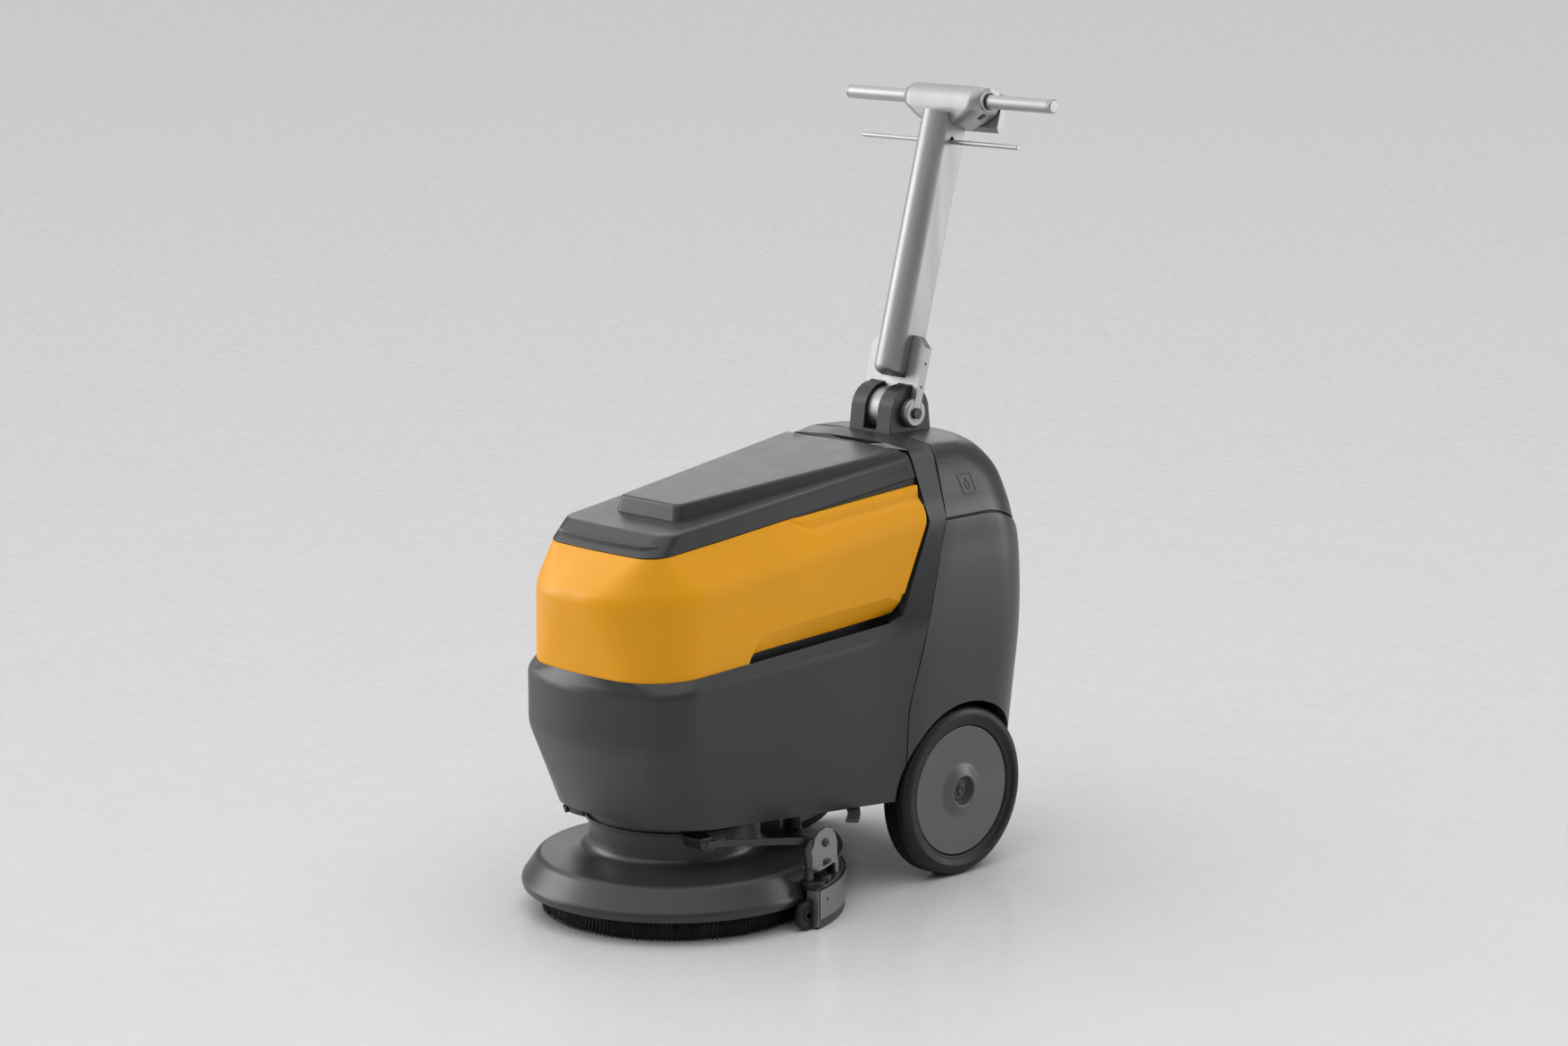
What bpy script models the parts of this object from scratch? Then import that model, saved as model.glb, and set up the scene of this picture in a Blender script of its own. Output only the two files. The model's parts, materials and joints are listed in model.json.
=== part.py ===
"""Compact walk-behind floor scrubber.

Metres, +Z up. The origin is the centre of the scrubbing brush on the floor. The machine's front
faces -Y and its left side is +X. The squeegee, the wheels and the handle are behind the brush.
"""
import math

import bmesh
import bpy
from mathutils import Matrix, Vector

for old_object in list(bpy.data.objects):
    bpy.data.objects.remove(old_object, do_unlink=True)

# ---- driving dimensions --------------------------------------------------------------------------
GAP = 0.0004                # clearance between neighbouring pieces
WALL = 0.004                # wall of the moulded body shells

BRUSH_RADIUS = 0.165
BRISTLE_TOP = 0.022
DECK_RADIUS = 0.190
DECK_LIP_HEIGHT = 0.035
NECK_RADIUS = 0.106

WHEEL_RADIUS = 0.110
WHEEL_Y = 0.347
WHEEL_OUTER_X = 0.167
TYRE_WIDTH = 0.041
AXLE_RADIUS = 0.008
ARCH_RADIUS = 0.117

BODY_SIDE_Y = 0.35          # where the plan outlines reach their widest
KINK_Y = -0.11              # behind this line the body's creases climb towards the rear
SPLIT_Y = 0.2425            # hull to rear cover joint, low on the side
SPLIT_Z = 0.234
SPLIT_LEAN = 0.306          # the joint leans back by this much per metre of height
REAR_CORNER = 0.09

PIVOT_Y = 0.38
PIVOT_Z = 0.577
HANDLE_LEAN = math.radians(15.3)
BAR_REACH = 0.4054          # pivot to grip bar, along the column
TRIGGER_REACH = 0.3495
BAR_HALF = 0.179
BAR_RADIUS = 0.0092
TRIGGER_HALF = 0.136
TRIGGER_RADIUS = 0.003
TRIGGER_TRAVEL = 0.006

SQUEEGEE_END = math.radians(12.5)      # the crescent's ends, measured from the X axis
LIFT_Y = -0.062
LIFT_Z = 0.1110
LID_HINGE_Y = 0.309
LID_HINGE_Z = 0.541

PARTS = bpy.data.collections.new("floor_scrubber")
CUTTERS = bpy.data.collections.new("cutters")
bpy.context.scene.collection.children.link(PARTS)
bpy.context.scene.collection.children.link(CUTTERS)

# ---- finishes: colour, roughness, metallic -------------------------------------------------------
GREY_SHELL = ((0.060, 0.062, 0.064), 0.45, 0.0)
DARK_PLASTIC = ((0.030, 0.031, 0.032), 0.5, 0.0)
ORANGE_TANK = ((0.80, 0.40, 0.035), 0.4, 0.0)
BLACK_RUBBER = ((0.012, 0.012, 0.013), 0.7, 0.0)
WHEEL_GREY = ((0.13, 0.13, 0.135), 0.45, 0.0)
CAST_ALUMINIUM = ((0.62, 0.62, 0.63), 0.32, 1.0)
STEEL = ((0.55, 0.55, 0.56), 0.3, 1.0)
BRISTLE = ((0.015, 0.015, 0.017), 0.85, 0.0)
BATTERY_CASE = ((0.02, 0.025, 0.03), 0.5, 0.0)
BOARD_GREEN = ((0.02, 0.12, 0.05), 0.5, 0.0)
BLADE_RUBBER = ((0.10, 0.03, 0.02), 0.6, 0.0)


# ---- helpers -------------------------------------------------------------------------------------
def material(name, finish):
    colour, roughness, metallic = finish
    made = bpy.data.materials.new(name)
    made.use_nodes = True
    shader = made.node_tree.nodes["Principled BSDF"]
    shader.inputs["Base Color"].default_value = (*colour, 1.0)
    shader.inputs["Roughness"].default_value = roughness
    shader.inputs["Metallic"].default_value = metallic
    return made


def add_part(name, mesh, finish, place=(0, 0, 0), turn=(0, 0, 0), parent=None):
    obj = bpy.data.objects.new(name, mesh)
    PARTS.objects.link(obj)
    obj.location = place
    obj.rotation_euler = turn
    obj.parent = parent
    mesh.materials.append(material(name, finish))
    for face in mesh.polygons:
        face.use_smooth = True
    return obj


def hang(obj, pivot):
    """Parent a piece modelled in world coordinates to the empty on its joint."""
    obj.parent = pivot
    obj.matrix_parent_inverse = Matrix.Translation(-pivot.location)


def empty(name, place, turn=(0, 0, 0)):
    pivot = bpy.data.objects.new(name, None)
    bpy.context.scene.collection.objects.link(pivot)
    pivot.location = place
    pivot.rotation_euler = turn
    return pivot


def to_mesh(name, bm):
    mesh = bpy.data.meshes.new(name)
    bm.normal_update()
    bm.to_mesh(mesh)
    bm.free()
    return mesh


def box_mesh(name, low, high):
    bm = bmesh.new()
    bmesh.ops.create_cube(bm, size=1.0)
    size = [b - a for a, b in zip(low, high)]
    middle = [(a + b) / 2 for a, b in zip(low, high)]
    bmesh.ops.scale(bm, vec=size, verts=bm.verts)
    bmesh.ops.translate(bm, vec=middle, verts=bm.verts)
    return to_mesh(name, bm)


def add_box(name, low, high, finish, bevel=0.0, **placing):
    obj = add_part(name, box_mesh(name, low, high), finish, **placing)
    if bevel:
        add_bevel(obj, bevel)
    return obj


def add_bevel(obj, width, segments=2):
    bevel = obj.modifiers.new("bevel", "BEVEL")
    bevel.width = width
    bevel.segments = segments
    bevel.limit_method = "ANGLE"
    bevel.angle_limit = math.radians(40)


def turned(name, profile, finish, steps=32, closed=False, **placing):
    """A turned piece about its own Z axis. The profile runs down the outer side."""
    count = len(profile)
    edges = [(i, i + 1) for i in range(count - 1)]
    if closed:
        edges.append((count - 1, 0))
    mesh = bpy.data.meshes.new(name)
    mesh.from_pydata([(r, 0, z) for r, z in profile], edges, [])
    obj = add_part(name, mesh, finish, **placing)
    screw = obj.modifiers.new("turn", "SCREW")
    screw.steps = steps
    screw.render_steps = steps
    screw.use_merge_vertices = True
    screw.merge_threshold = 0.00001
    return obj


def loft_mesh(name, rings, capped=True):
    bm = bmesh.new()
    rows = [[bm.verts.new(p) for p in ring] for ring in rings]
    count = len(rows[0])
    for low, high in zip(rows, rows[1:]):
        for i in range(count):
            j = (i + 1) % count
            bm.faces.new((low[i], low[j], high[j], high[i]))
    if capped:
        bm.faces.new(list(reversed(rows[0])))
        bm.faces.new(rows[-1])
    return to_mesh(name, bm)


def face_outwards(mesh):
    bm = bmesh.new()
    bm.from_mesh(mesh)
    bmesh.ops.recalc_face_normals(bm, faces=bm.faces)
    bm.to_mesh(mesh)
    bm.free()
    return mesh


def extrude_mesh(name, outline, low, high, axis="z"):
    """A prism of a flat outline given counter-clockwise, seen from the end of its axis."""
    spots = {"z": lambda u, v, w: (u, v, w), "x": lambda u, v, w: (w, u, v),
             "y": lambda u, v, w: (v, w, u)}[axis]
    rings = [[spots(u, v, w) for u, v in outline] for w in (low, high)]
    return face_outwards(loft_mesh(name, rings))


def tube(name, points, radius, finish, resolution=3, parent=None, smooth=False):
    """A round bar or hose along points, as a mesh with welded caps."""
    curve = bpy.data.curves.new(name, "CURVE")
    curve.dimensions = "3D"
    curve.bevel_depth = radius
    curve.bevel_resolution = resolution
    curve.use_fill_caps = True
    spline = curve.splines.new("POLY")
    spline.points.add(len(points) - 1)
    for spot, point in zip(spline.points, points):
        spot.co = (*point, 1.0)
    holder = bpy.data.objects.new(name + "_curve", curve)
    bpy.context.scene.collection.objects.link(holder)
    bpy.context.view_layer.update()
    evaluated = holder.evaluated_get(bpy.context.evaluated_depsgraph_get())
    mesh = bpy.data.meshes.new_from_object(evaluated)
    bpy.data.objects.remove(holder, do_unlink=True)
    bm = bmesh.new()
    bm.from_mesh(mesh)
    bmesh.ops.remove_doubles(bm, verts=bm.verts, dist=0.00001)
    bmesh.ops.recalc_face_normals(bm, faces=bm.faces)
    bm.to_mesh(mesh)
    bm.free()
    mesh.name = name
    return add_part(name, mesh, finish, parent=parent)


def cutter(name, mesh, place=(0, 0, 0), turn=(0, 0, 0), parent=None):
    obj = bpy.data.objects.new(name, mesh)
    CUTTERS.objects.link(obj)
    obj.location = place
    obj.rotation_euler = turn
    obj.parent = parent
    obj.hide_render = True
    obj.display_type = "WIRE"
    return obj


def cylinder_mesh(name, radius, low, high, sides=32):
    bm = bmesh.new()
    bmesh.ops.create_cone(bm, cap_ends=True, segments=sides, radius1=radius, radius2=radius,
                          depth=high - low)
    bmesh.ops.translate(bm, vec=(0, 0, (low + high) / 2), verts=bm.verts)
    return to_mesh(name, bm)


def combine(obj, tool, operation="DIFFERENCE"):
    change = obj.modifiers.new(operation.lower(), "BOOLEAN")
    change.operation = operation
    change.object = tool
    change.solver = "EXACT"
    return change


def solidify(obj, thickness=WALL):
    shell = obj.modifiers.new("wall", "SOLIDIFY")
    shell.thickness = thickness
    shell.offset = -1.0
    shell.use_even_offset = True
    return shell


def mirrored(points):
    """A closed loop from its right half, whose first and last points lie on X = 0."""
    return points + [Vector((-p.x, p.y, p.z)) for p in reversed(points[1:-1])]


# ---- plan outlines of the body -------------------------------------------------------------------
def climb(low, slope):
    """Height of a crease: level across the front, then climbing to the rear."""
    soft = 0.02
    return lambda y: low + slope * soft * math.log1p(math.exp(min((y - KINK_Y) / soft, 40)))


def nose_points(half_front, half_rear, front, bow, corner, corner_steps=7):
    """Right half of a plan outline, from the front centre to the start of the straight side."""
    corner_point = Vector((half_front, front + bow))
    side = (Vector((half_rear, BODY_SIDE_Y)) - corner_point).normalized()
    inward = Vector((-side.y, side.x))

    def rounded_centre(x):
        tangent = Vector((1, 2 * bow * x / half_front ** 2)).normalized()
        return Vector((x, front + bow * (x / half_front) ** 2)) + corner * Vector((-tangent.y, tangent.x))

    low, high = 0.0, half_front
    for _ in range(40):
        middle = (low + high) / 2
        if (rounded_centre(middle) - corner_point).dot(inward) > corner:
            low = middle
        else:
            high = middle
    centre = rounded_centre(low)
    start = Vector((low, front + bow * (low / half_front) ** 2)) - centre
    finish = -corner * inward
    angle_a = math.atan2(start.y, start.x)
    angle_b = math.atan2(finish.y, finish.x)
    points = [Vector((low * i / 3, front + bow * (low * i / 3 / half_front) ** 2)) for i in range(3)]
    for i in range(corner_steps + 1):
        angle = angle_a + (angle_b - angle_a) * i / corner_steps
        points.append(centre + corner * Vector((math.cos(angle), math.sin(angle))))
    return points


def nose_ring(shape, height, sides):
    """Right half of a crease: the nose, then points on the side at the given y values."""
    half_front, half_rear, front, bow, corner = shape
    points = nose_points(*shape)
    last = points[-1]
    slope = (half_rear - last.x) / (BODY_SIDE_Y - last.y)
    for y in sides:
        points.append(Vector((last.x + slope * (y - last.y), y)))
    return [Vector((p.x, p.y, height(p.y))) for p in points]


def stern_ring(half_width, front, rear, height, corner=REAR_CORNER, side_steps=3, corner_steps=7):
    """Right half of an outline at the back, from the joint with the hull to the rear centre."""
    points = [Vector((half_width, front + (rear - corner - front) * i / side_steps))
              for i in range(side_steps)]
    for i in range(corner_steps + 1):
        angle = math.pi / 2 * i / corner_steps
        points.append(Vector((half_width - corner + corner * math.cos(angle),
                              rear - corner + corner * math.sin(angle))))
    points.append(Vector((0, rear)))
    return [Vector((p.x, p.y, height)) for p in points]


def split_y(z):
    return SPLIT_Y + SPLIT_LEAN * max(z - SPLIT_Z, 0.0)


BOTTOM = (0.127, 0.166, -0.122, 0.019, 0.082)
WAIST = (0.138, 0.172, -0.165, 0.038, 0.066)
RIM = (0.1264, 0.157, -0.1572, 0.0141, 0.0814)
TANK_CREASE = (0.126, 0.1627, -0.1695, 0.0129, 0.1163)
LID_EDGE = (0.0974, 0.1339, -0.1278, 0.0056, 0.0319)
LID_CREASE = (0.0956, 0.120, -0.1009, 0.0022, 0.0248)
bottom_z = lambda y: 0.1276 - 0.05 * y
waist_z = lambda y: SPLIT_Z
shoulder_z = lambda y: 0.313 + 0.07 * y
rim_z = climb(0.3178, 0.076)
tank_crease_z = climb(0.414, 0.136)
lid_edge_z = climb(0.463, 0.132)
lid_crease_z = climb(0.486, 0.131)


def inset(shape, amount):
    half_front, half_rear, front, bow, corner = shape
    return (half_front - amount, half_rear - amount, front + amount, bow, max(corner - amount, 0.01))


def make_pivots():
    names = {
        "brush_axis": (0, 0, 0),
        "wheel_left_axis": (0, WHEEL_Y, WHEEL_RADIUS),
        "wheel_right_axis": (0, WHEEL_Y, WHEEL_RADIUS),
        "tank_slide": (0, 0.1, 0.33),
        "lid_hinge": (0, LID_HINGE_Y, LID_HINGE_Z),
        "squeegee_swing": (0, 0, LIFT_Z),
        "squeegee_lift": (0, LIFT_Y, LIFT_Z),
    }
    pivots = {name: empty(name, place) for name, place in names.items()}
    pivots["handle_fold"] = empty("handle_fold", (0, PIVOT_Y, PIVOT_Z), (-HANDLE_LEAN, 0, 0))
    return pivots


# ---- body shells ---------------------------------------------------------------------------------
def pillar_outer():
    """The hull's joint with the rear cover, from the shoulder up and over the top."""
    heights = (0.343, 0.362, 0.40, 0.44, 0.4665)
    points = [Vector((0.1705 - 0.07 * (z - 0.343), split_y(z), z)) for z in heights]
    points += [Vector((x, split_y(z), z)) for x, z in ((0.147, 0.4915), (0.132, 0.5165), (0.119, 0.538))]
    points += [Vector((0.104, 0.343, 0.549)), Vector((0.055, 0.343, 0.553)), Vector((0, 0.343, 0.554))]
    return points


def pillar_inner():
    """The opening for the recovery tank, from the rim up and over behind the lid."""
    points = [Vector(p) for p in (
        (0.1565, 0.242, 0.352), (0.1570, 0.250, 0.368), (0.158, 0.262, 0.40), (0.160, 0.277, 0.44),
        (0.1605, 0.2865, 0.4645), (0.147, 0.2885, 0.4905), (0.131, 0.2935, 0.5155),
        (0.1175, 0.297, 0.539), (0.100, 0.309, 0.5445), (0.052, 0.318, 0.547), (0, 0.320, 0.547))]
    return points


def make_hull():
    sides = (-0.02, 0.05, 0.12, 0.19, 0.225)
    rings = [nose_ring(BOTTOM, bottom_z, sides), nose_ring(WAIST, waist_z, sides),
             nose_ring(WAIST, shoulder_z, sides)]
    rear = [Vector((0.1605, SPLIT_Y, bottom_z(SPLIT_Y))), Vector((0.1675, SPLIT_Y, SPLIT_Z)),
            Vector((0.1705, split_y(0.336), 0.336))]
    rim = nose_ring(RIM, rim_z, sides) + pillar_inner()
    lip = [p - Vector((0, 0, 0.014)) for p in nose_ring(RIM, rim_z, sides)]
    bm = bmesh.new()

    def row(points):
        return [bm.verts.new(p) for p in points]

    rows = [row(ring + [end]) for ring, end in zip(rings, rear)]
    strip_outer = rows[2][:-1] + row(pillar_outer()[:-1])
    top_outer = bm.verts.new(pillar_outer()[-1])
    strip_inner = row(rim[:-1])
    top_inner = bm.verts.new(rim[-1])
    for low, high in zip(rows, rows[1:]):
        for i in range(len(low) - 1):
            bm.faces.new((low[i], low[i + 1], high[i + 1], high[i]))
    turn_start = len(rings[2]) - 1
    bm.faces.new((rows[2][turn_start], rows[2][-1], strip_outer[turn_start + 1]))
    strip_outer.append(top_outer)
    strip_inner.append(top_inner)
    for i in range(len(strip_outer) - 1):
        bm.faces.new((strip_outer[i], strip_outer[i + 1], strip_inner[i + 1], strip_inner[i]))
    lip_row = row(lip[:len(rings[2])])
    for i in range(len(lip_row) - 1):
        bm.faces.new((strip_inner[i], strip_inner[i + 1], lip_row[i + 1], lip_row[i]))
    bottom_row = rows[0]
    centre_row = row([Vector((0, p.co.y, p.co.z)) for p in bottom_row])
    for i in range(1, len(bottom_row) - 1):
        bm.faces.new((bottom_row[i + 1], bottom_row[i], centre_row[i], centre_row[i + 1]))
    bm.faces.new((bottom_row[1], bottom_row[0], centre_row[1]))
    bm.verts.remove(centre_row[0])
    wall_start = len(rings[2]) - 1
    wall = strip_inner[wall_start:]
    levels = wall[:-3]
    recess = row([Vector((0.104, min(split_y(v.co.z) - 0.009, 0.3215), v.co.z)) for v in levels])
    wall_centre = row([Vector((0, min(split_y(v.co.z) - 0.009, 0.3215), v.co.z)) for v in levels])
    for i in range(len(levels) - 1):
        bm.faces.new((wall[i], wall[i + 1], recess[i + 1], recess[i]))
        bm.faces.new((recess[i], recess[i + 1], wall_centre[i + 1], wall_centre[i]))
    bm.faces.new((wall[-4], wall[-3], recess[-1]))
    bm.faces.new((wall[-3], wall[-2], wall[-1], wall_centre[-1], recess[-1]))
    mesh = to_mesh("hull_shell", bm)
    hull = add_part("hull_shell", mesh, GREY_SHELL)
    mirror = hull.modifiers.new("mirror", "MIRROR")
    mirror.merge_threshold = 0.0001
    solidify(hull)
    combine(hull, cutter("neck_hole", cylinder_mesh("neck_hole", NECK_RADIUS + 0.0015, 0.05, 0.2, 40)))
    arch = cutter("hull_arch", cylinder_mesh("hull_arch", ARCH_RADIUS, -0.3, 0.3, 48),
                  (0, WHEEL_Y, WHEEL_RADIUS), (0, math.pi / 2, 0))
    combine(hull, arch)
    return hull


def make_rear_cover():
    """Wraps the back below the crease: half width at the joint, at the widest, rear, height."""
    levels = ((0.1590, 0.1630, 0.478, 0.112), (0.1650, 0.1680, 0.482, 0.175),
              (0.1675, 0.1710, 0.487, SPLIT_Z), (0.1706, 0.1715, 0.496, 0.300),
              (0.1703, 0.1705, 0.499, 0.343), (0.1665, 0.1675, 0.500, 0.400),
              (0.1637, 0.1645, 0.498, 0.440), (0.1622, 0.1625, 0.494, 0.4655))
    bm = bmesh.new()
    rows = []
    for front_x, half_width, rear, height in levels:
        ring = stern_ring(half_width, split_y(height) + 4 * GAP, rear, height)
        ring[0].x = front_x
        rows.append([bm.verts.new(p) for p in ring])
    for low, high in zip(rows, rows[1:]):
        for i in range(len(low) - 1):
            bm.faces.new((low[i], low[i + 1], high[i + 1], high[i]))
    cover = add_part("rear_cover", to_mesh("rear_cover", bm), GREY_SHELL)
    mirror = cover.modifiers.new("mirror", "MIRROR")
    mirror.merge_threshold = 0.0001
    solidify(cover)
    arch = cutter("rear_arch", cylinder_mesh("rear_arch", ARCH_RADIUS, -0.3, 0.3, 48),
                  (0, WHEEL_Y, WHEEL_RADIUS), (0, math.pi / 2, 0))
    combine(cover, arch)
    return cover


def make_top_cap():
    """The domed cap over the back, from the crease up; it carries the handle bracket."""
    levels = ((0.1612, 0.4935, 0.4668), (0.148, 0.490, 0.4915), (0.134, 0.480, 0.5165),
              (0.120, 0.462, 0.538), (0.105, 0.440, 0.549), (0.055, 0.405, 0.5535))
    bm = bmesh.new()
    rows = []
    for half_width, rear, height in levels:
        front = max(split_y(height), 0.343 if height > 0.545 else 0) + 2 * GAP
        corner = min(REAR_CORNER, rear - front - 0.012, half_width - 0.005)
        rows.append([bm.verts.new(p) for p in stern_ring(half_width, front, rear, height, corner)])
    for low, high in zip(rows, rows[1:]):
        for i in range(len(low) - 1):
            bm.faces.new((low[i], low[i + 1], high[i + 1], high[i]))
    top = rows[-1]
    bm.faces.new(top + [bm.verts.new((0, top[0].co.y, top[0].co.z))])
    cap = add_part("rear_top_cap", to_mesh("rear_top_cap", bm), GREY_SHELL)
    mirror = cap.modifiers.new("mirror", "MIRROR")
    mirror.merge_threshold = 0.0001
    solidify(cap, 0.0035)
    return cap


def tank_ring(shape, height, sides, rear_x, rear_y):
    half = nose_ring(shape, height, sides)
    half += [Vector((rear_x, rear_y, height(rear_y))), Vector((0, rear_y, height(rear_y)))]
    return mirrored(half)


def make_recovery_tank():
    low_sides = (-0.02, 0.05, 0.12, 0.19, 0.225)
    high_sides = (-0.02, 0.06, 0.14, 0.22, 0.26)
    rim_inset = inset(RIM, 0.001)
    foot_z = lambda y: rim_z(y) - 0.012
    lip_z = lambda y: lid_edge_z(y) - 2 * GAP
    rings = [tank_ring(rim_inset, foot_z, low_sides, 0.1500, 0.2315),
             tank_ring(rim_inset, rim_z, low_sides, 0.1515, 0.2345),
             tank_ring(TANK_CREASE, tank_crease_z, high_sides, 0.1590, 0.2835),
             tank_ring(inset(LID_EDGE, 0.0005), lip_z, high_sides, 0.1310, 0.2895)]
    tank = add_part("recovery_tank", loft_mesh("recovery_tank", rings), ORANGE_TANK)
    wall = 0.020
    floor_z = lambda y: rim_z(y) - 0.006
    brim_z = lambda y: lid_edge_z(y) + 0.01
    hollow = [tank_ring(inset(RIM, wall), floor_z, low_sides, 0.134, 0.229),
              tank_ring(inset(TANK_CREASE, wall), tank_crease_z, high_sides, 0.138, 0.274),
              tank_ring(inset(LID_EDGE, 0.018), brim_z, high_sides, 0.108, 0.282)]
    combine(tank, cutter("tank_hollow", loft_mesh("tank_hollow", hollow)))
    for side in (-1, 1):
        combine(tank, low_grip_cutter(side))
        combine(tank, high_grip_cutter(side))
    hang(tank, PIVOTS["tank_slide"])
    return tank


def grip_cutter(name, side, sections):
    """An undercut in the tank's side: at each y, the corners of its X-Z section."""
    rings = [[Vector((side * x, y, z)) for x, z in corners] for y, corners in sections]
    return cutter(name, face_outwards(loft_mesh(name, rings)))


def low_grip_cutter(side):
    """The hand recess low on the tank. Each row is y, then x and z inside and at the top edge."""
    clear = 0.2
    floor = 0.300
    rows = ((0.000, 0.1335, 0.3260, 0.1347, 0.3300), (0.012, 0.1295, 0.3360, 0.1359, 0.3470),
            (0.030, 0.1300, 0.3380, 0.1372, 0.3605), (0.140, 0.1330, 0.3445, 0.1444, 0.3705),
            (0.225, 0.1350, 0.3505, 0.1500, 0.3765), (0.262, 0.1490, 0.3600, 0.1523, 0.3800))
    sections = [(y, ((inner_x, floor), (clear, floor), (clear, top_z), (top_x, top_z), (inner_x, inner_z)))
                for y, inner_x, inner_z, top_x, top_z in rows]
    return grip_cutter("low_grip_%d" % side, side, sections)


def high_grip_cutter(side):
    """The finger recess under the lid. Each row is y, then x and z at the low edge and at the top."""
    clear = 0.2
    rows = ((0.084, 0.1135, 0.4885, 0.1100, 0.5000), (0.100, 0.1235, 0.4745, 0.0960, 0.5080),
            (0.118, 0.1305, 0.4658, 0.0900, 0.5150), (0.300, 0.1490, 0.4872, 0.1040, 0.5370))
    sections = [(y, ((low_x, low_z), (clear, low_z), (clear, top_z), (top_x, top_z)))
                for y, low_x, low_z, top_x, top_z in rows]
    return grip_cutter("high_grip_%d" % side, side, sections)


def lid_ring(shape, height, sides, rear_x, rear_y, centre_y):
    half = nose_ring(shape, height, sides)
    half += [Vector((rear_x, rear_y, height(rear_y))),
             Vector((0.052, centre_y - 0.003, height(rear_y) + 0.005)),
             Vector((0, centre_y, height(rear_y) + 0.006))]
    return mirrored(half)


def wedge_ring(half_front, half_rear, front, rear, front_z, rear_z):
    corner = 0.008
    points = [Vector((0, front)), Vector((half_front - corner, front)),
              Vector((half_front, front + corner)), Vector((half_rear, rear)), Vector((0, rear))]
    slope = (rear_z - front_z) / (rear - front)
    return mirrored([Vector((p.x, p.y, front_z + slope * (p.y - front))) for p in points])


def make_lid():
    sides = (-0.04, 0.04, 0.12, 0.20, 0.26)
    rings = [lid_ring(LID_EDGE, lambda y: lid_edge_z(y) + GAP, sides, 0.1305, 0.2905, 0.296),
             lid_ring(LID_CREASE, lid_crease_z, sides, 0.1165, 0.2945, 0.3172)]
    lid = add_part("lid_shell", loft_mesh("lid_shell", rings), GREY_SHELL)
    wedge = [wedge_ring(0.058, 0.108, -0.046, 0.300, 0.488, 0.530),
             wedge_ring(0.057, 0.106, -0.045, 0.298, 0.494, 0.5385),
             wedge_ring(0.053, 0.100, -0.040, 0.290, 0.514, 0.5475)]
    combine(lid, cutter("lid_wedge", loft_mesh("lid_wedge", wedge)), "UNION")
    hollow = [lid_ring(inset(LID_EDGE, 0.004), lambda y: lid_edge_z(y) - 0.02, sides, 0.126, 0.286, 0.290),
              lid_ring(inset(LID_CREASE, 0.004), lambda y: lid_crease_z(y) - 0.004, sides,
                       0.1125, 0.290, 0.300)]
    combine(lid, cutter("lid_hollow", loft_mesh("lid_hollow", hollow)))
    hang(lid, PIVOTS["lid_hinge"])
    return lid



# ---- brush deck and brush ------------------------------------------------------------------------
def make_deck():
    profile = [(NECK_RADIUS, 0.140), (NECK_RADIUS, 0.088), (0.1085, 0.0805), (0.116, 0.0765),
               (0.166, 0.0695), (0.1715, 0.0665), (0.189, 0.041), (DECK_RADIUS, DECK_LIP_HEIGHT), (0.188, 0.030),
               (0.1855, 0.031), (0.1865, 0.037), (0.169, 0.0630), (0.165, 0.0655), (0.114, 0.0725),
               (0.1035, 0.079), (0.1025, 0.088), (0.1025, 0.140)]
    turned("deck_hood", profile, GREY_SHELL, 36, closed=True)
    plate = [(0.012, 0.127), (0.1020, 0.127), (0.1020, 0.122), (0.0125, 0.122)]
    turned("motor_plate", plate, STEEL, 32, closed=True)
    motor = [(0, 0.262), (0.030, 0.262), (0.036, 0.256), (0.036, 0.185), (0.052, 0.180), (0.056, 0.174),
             (0.056, 0.1275), (0, 0.1275)]
    turned("brush_gearmotor", motor, CAST_ALUMINIUM, 20)


def make_brush():
    axis = PIVOTS["brush_axis"]
    bristles = [(0, BRISTLE_TOP), (BRUSH_RADIUS - 0.001, BRISTLE_TOP), (BRUSH_RADIUS, 0.004),
                (BRUSH_RADIUS - 0.002, 0), (0, 0)]
    turned("brush_bristles", bristles, BRISTLE, 36, parent=axis)
    plate = [(0, 0.034), (0.150, 0.034), (0.160, 0.030), (0.160, BRISTLE_TOP + GAP), (0, BRISTLE_TOP + GAP)]
    turned("brush_plate", plate, DARK_PLASTIC, 30, parent=axis)
    hub = [(0, 0.1213), (0.0110, 0.1213), (0.0110, 0.062), (0.030, 0.058), (0.036, 0.050), (0.036, 0.0344),
           (0, 0.0344)]
    turned("drive_hub", hub, CAST_ALUMINIUM, 18, parent=axis)


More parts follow.
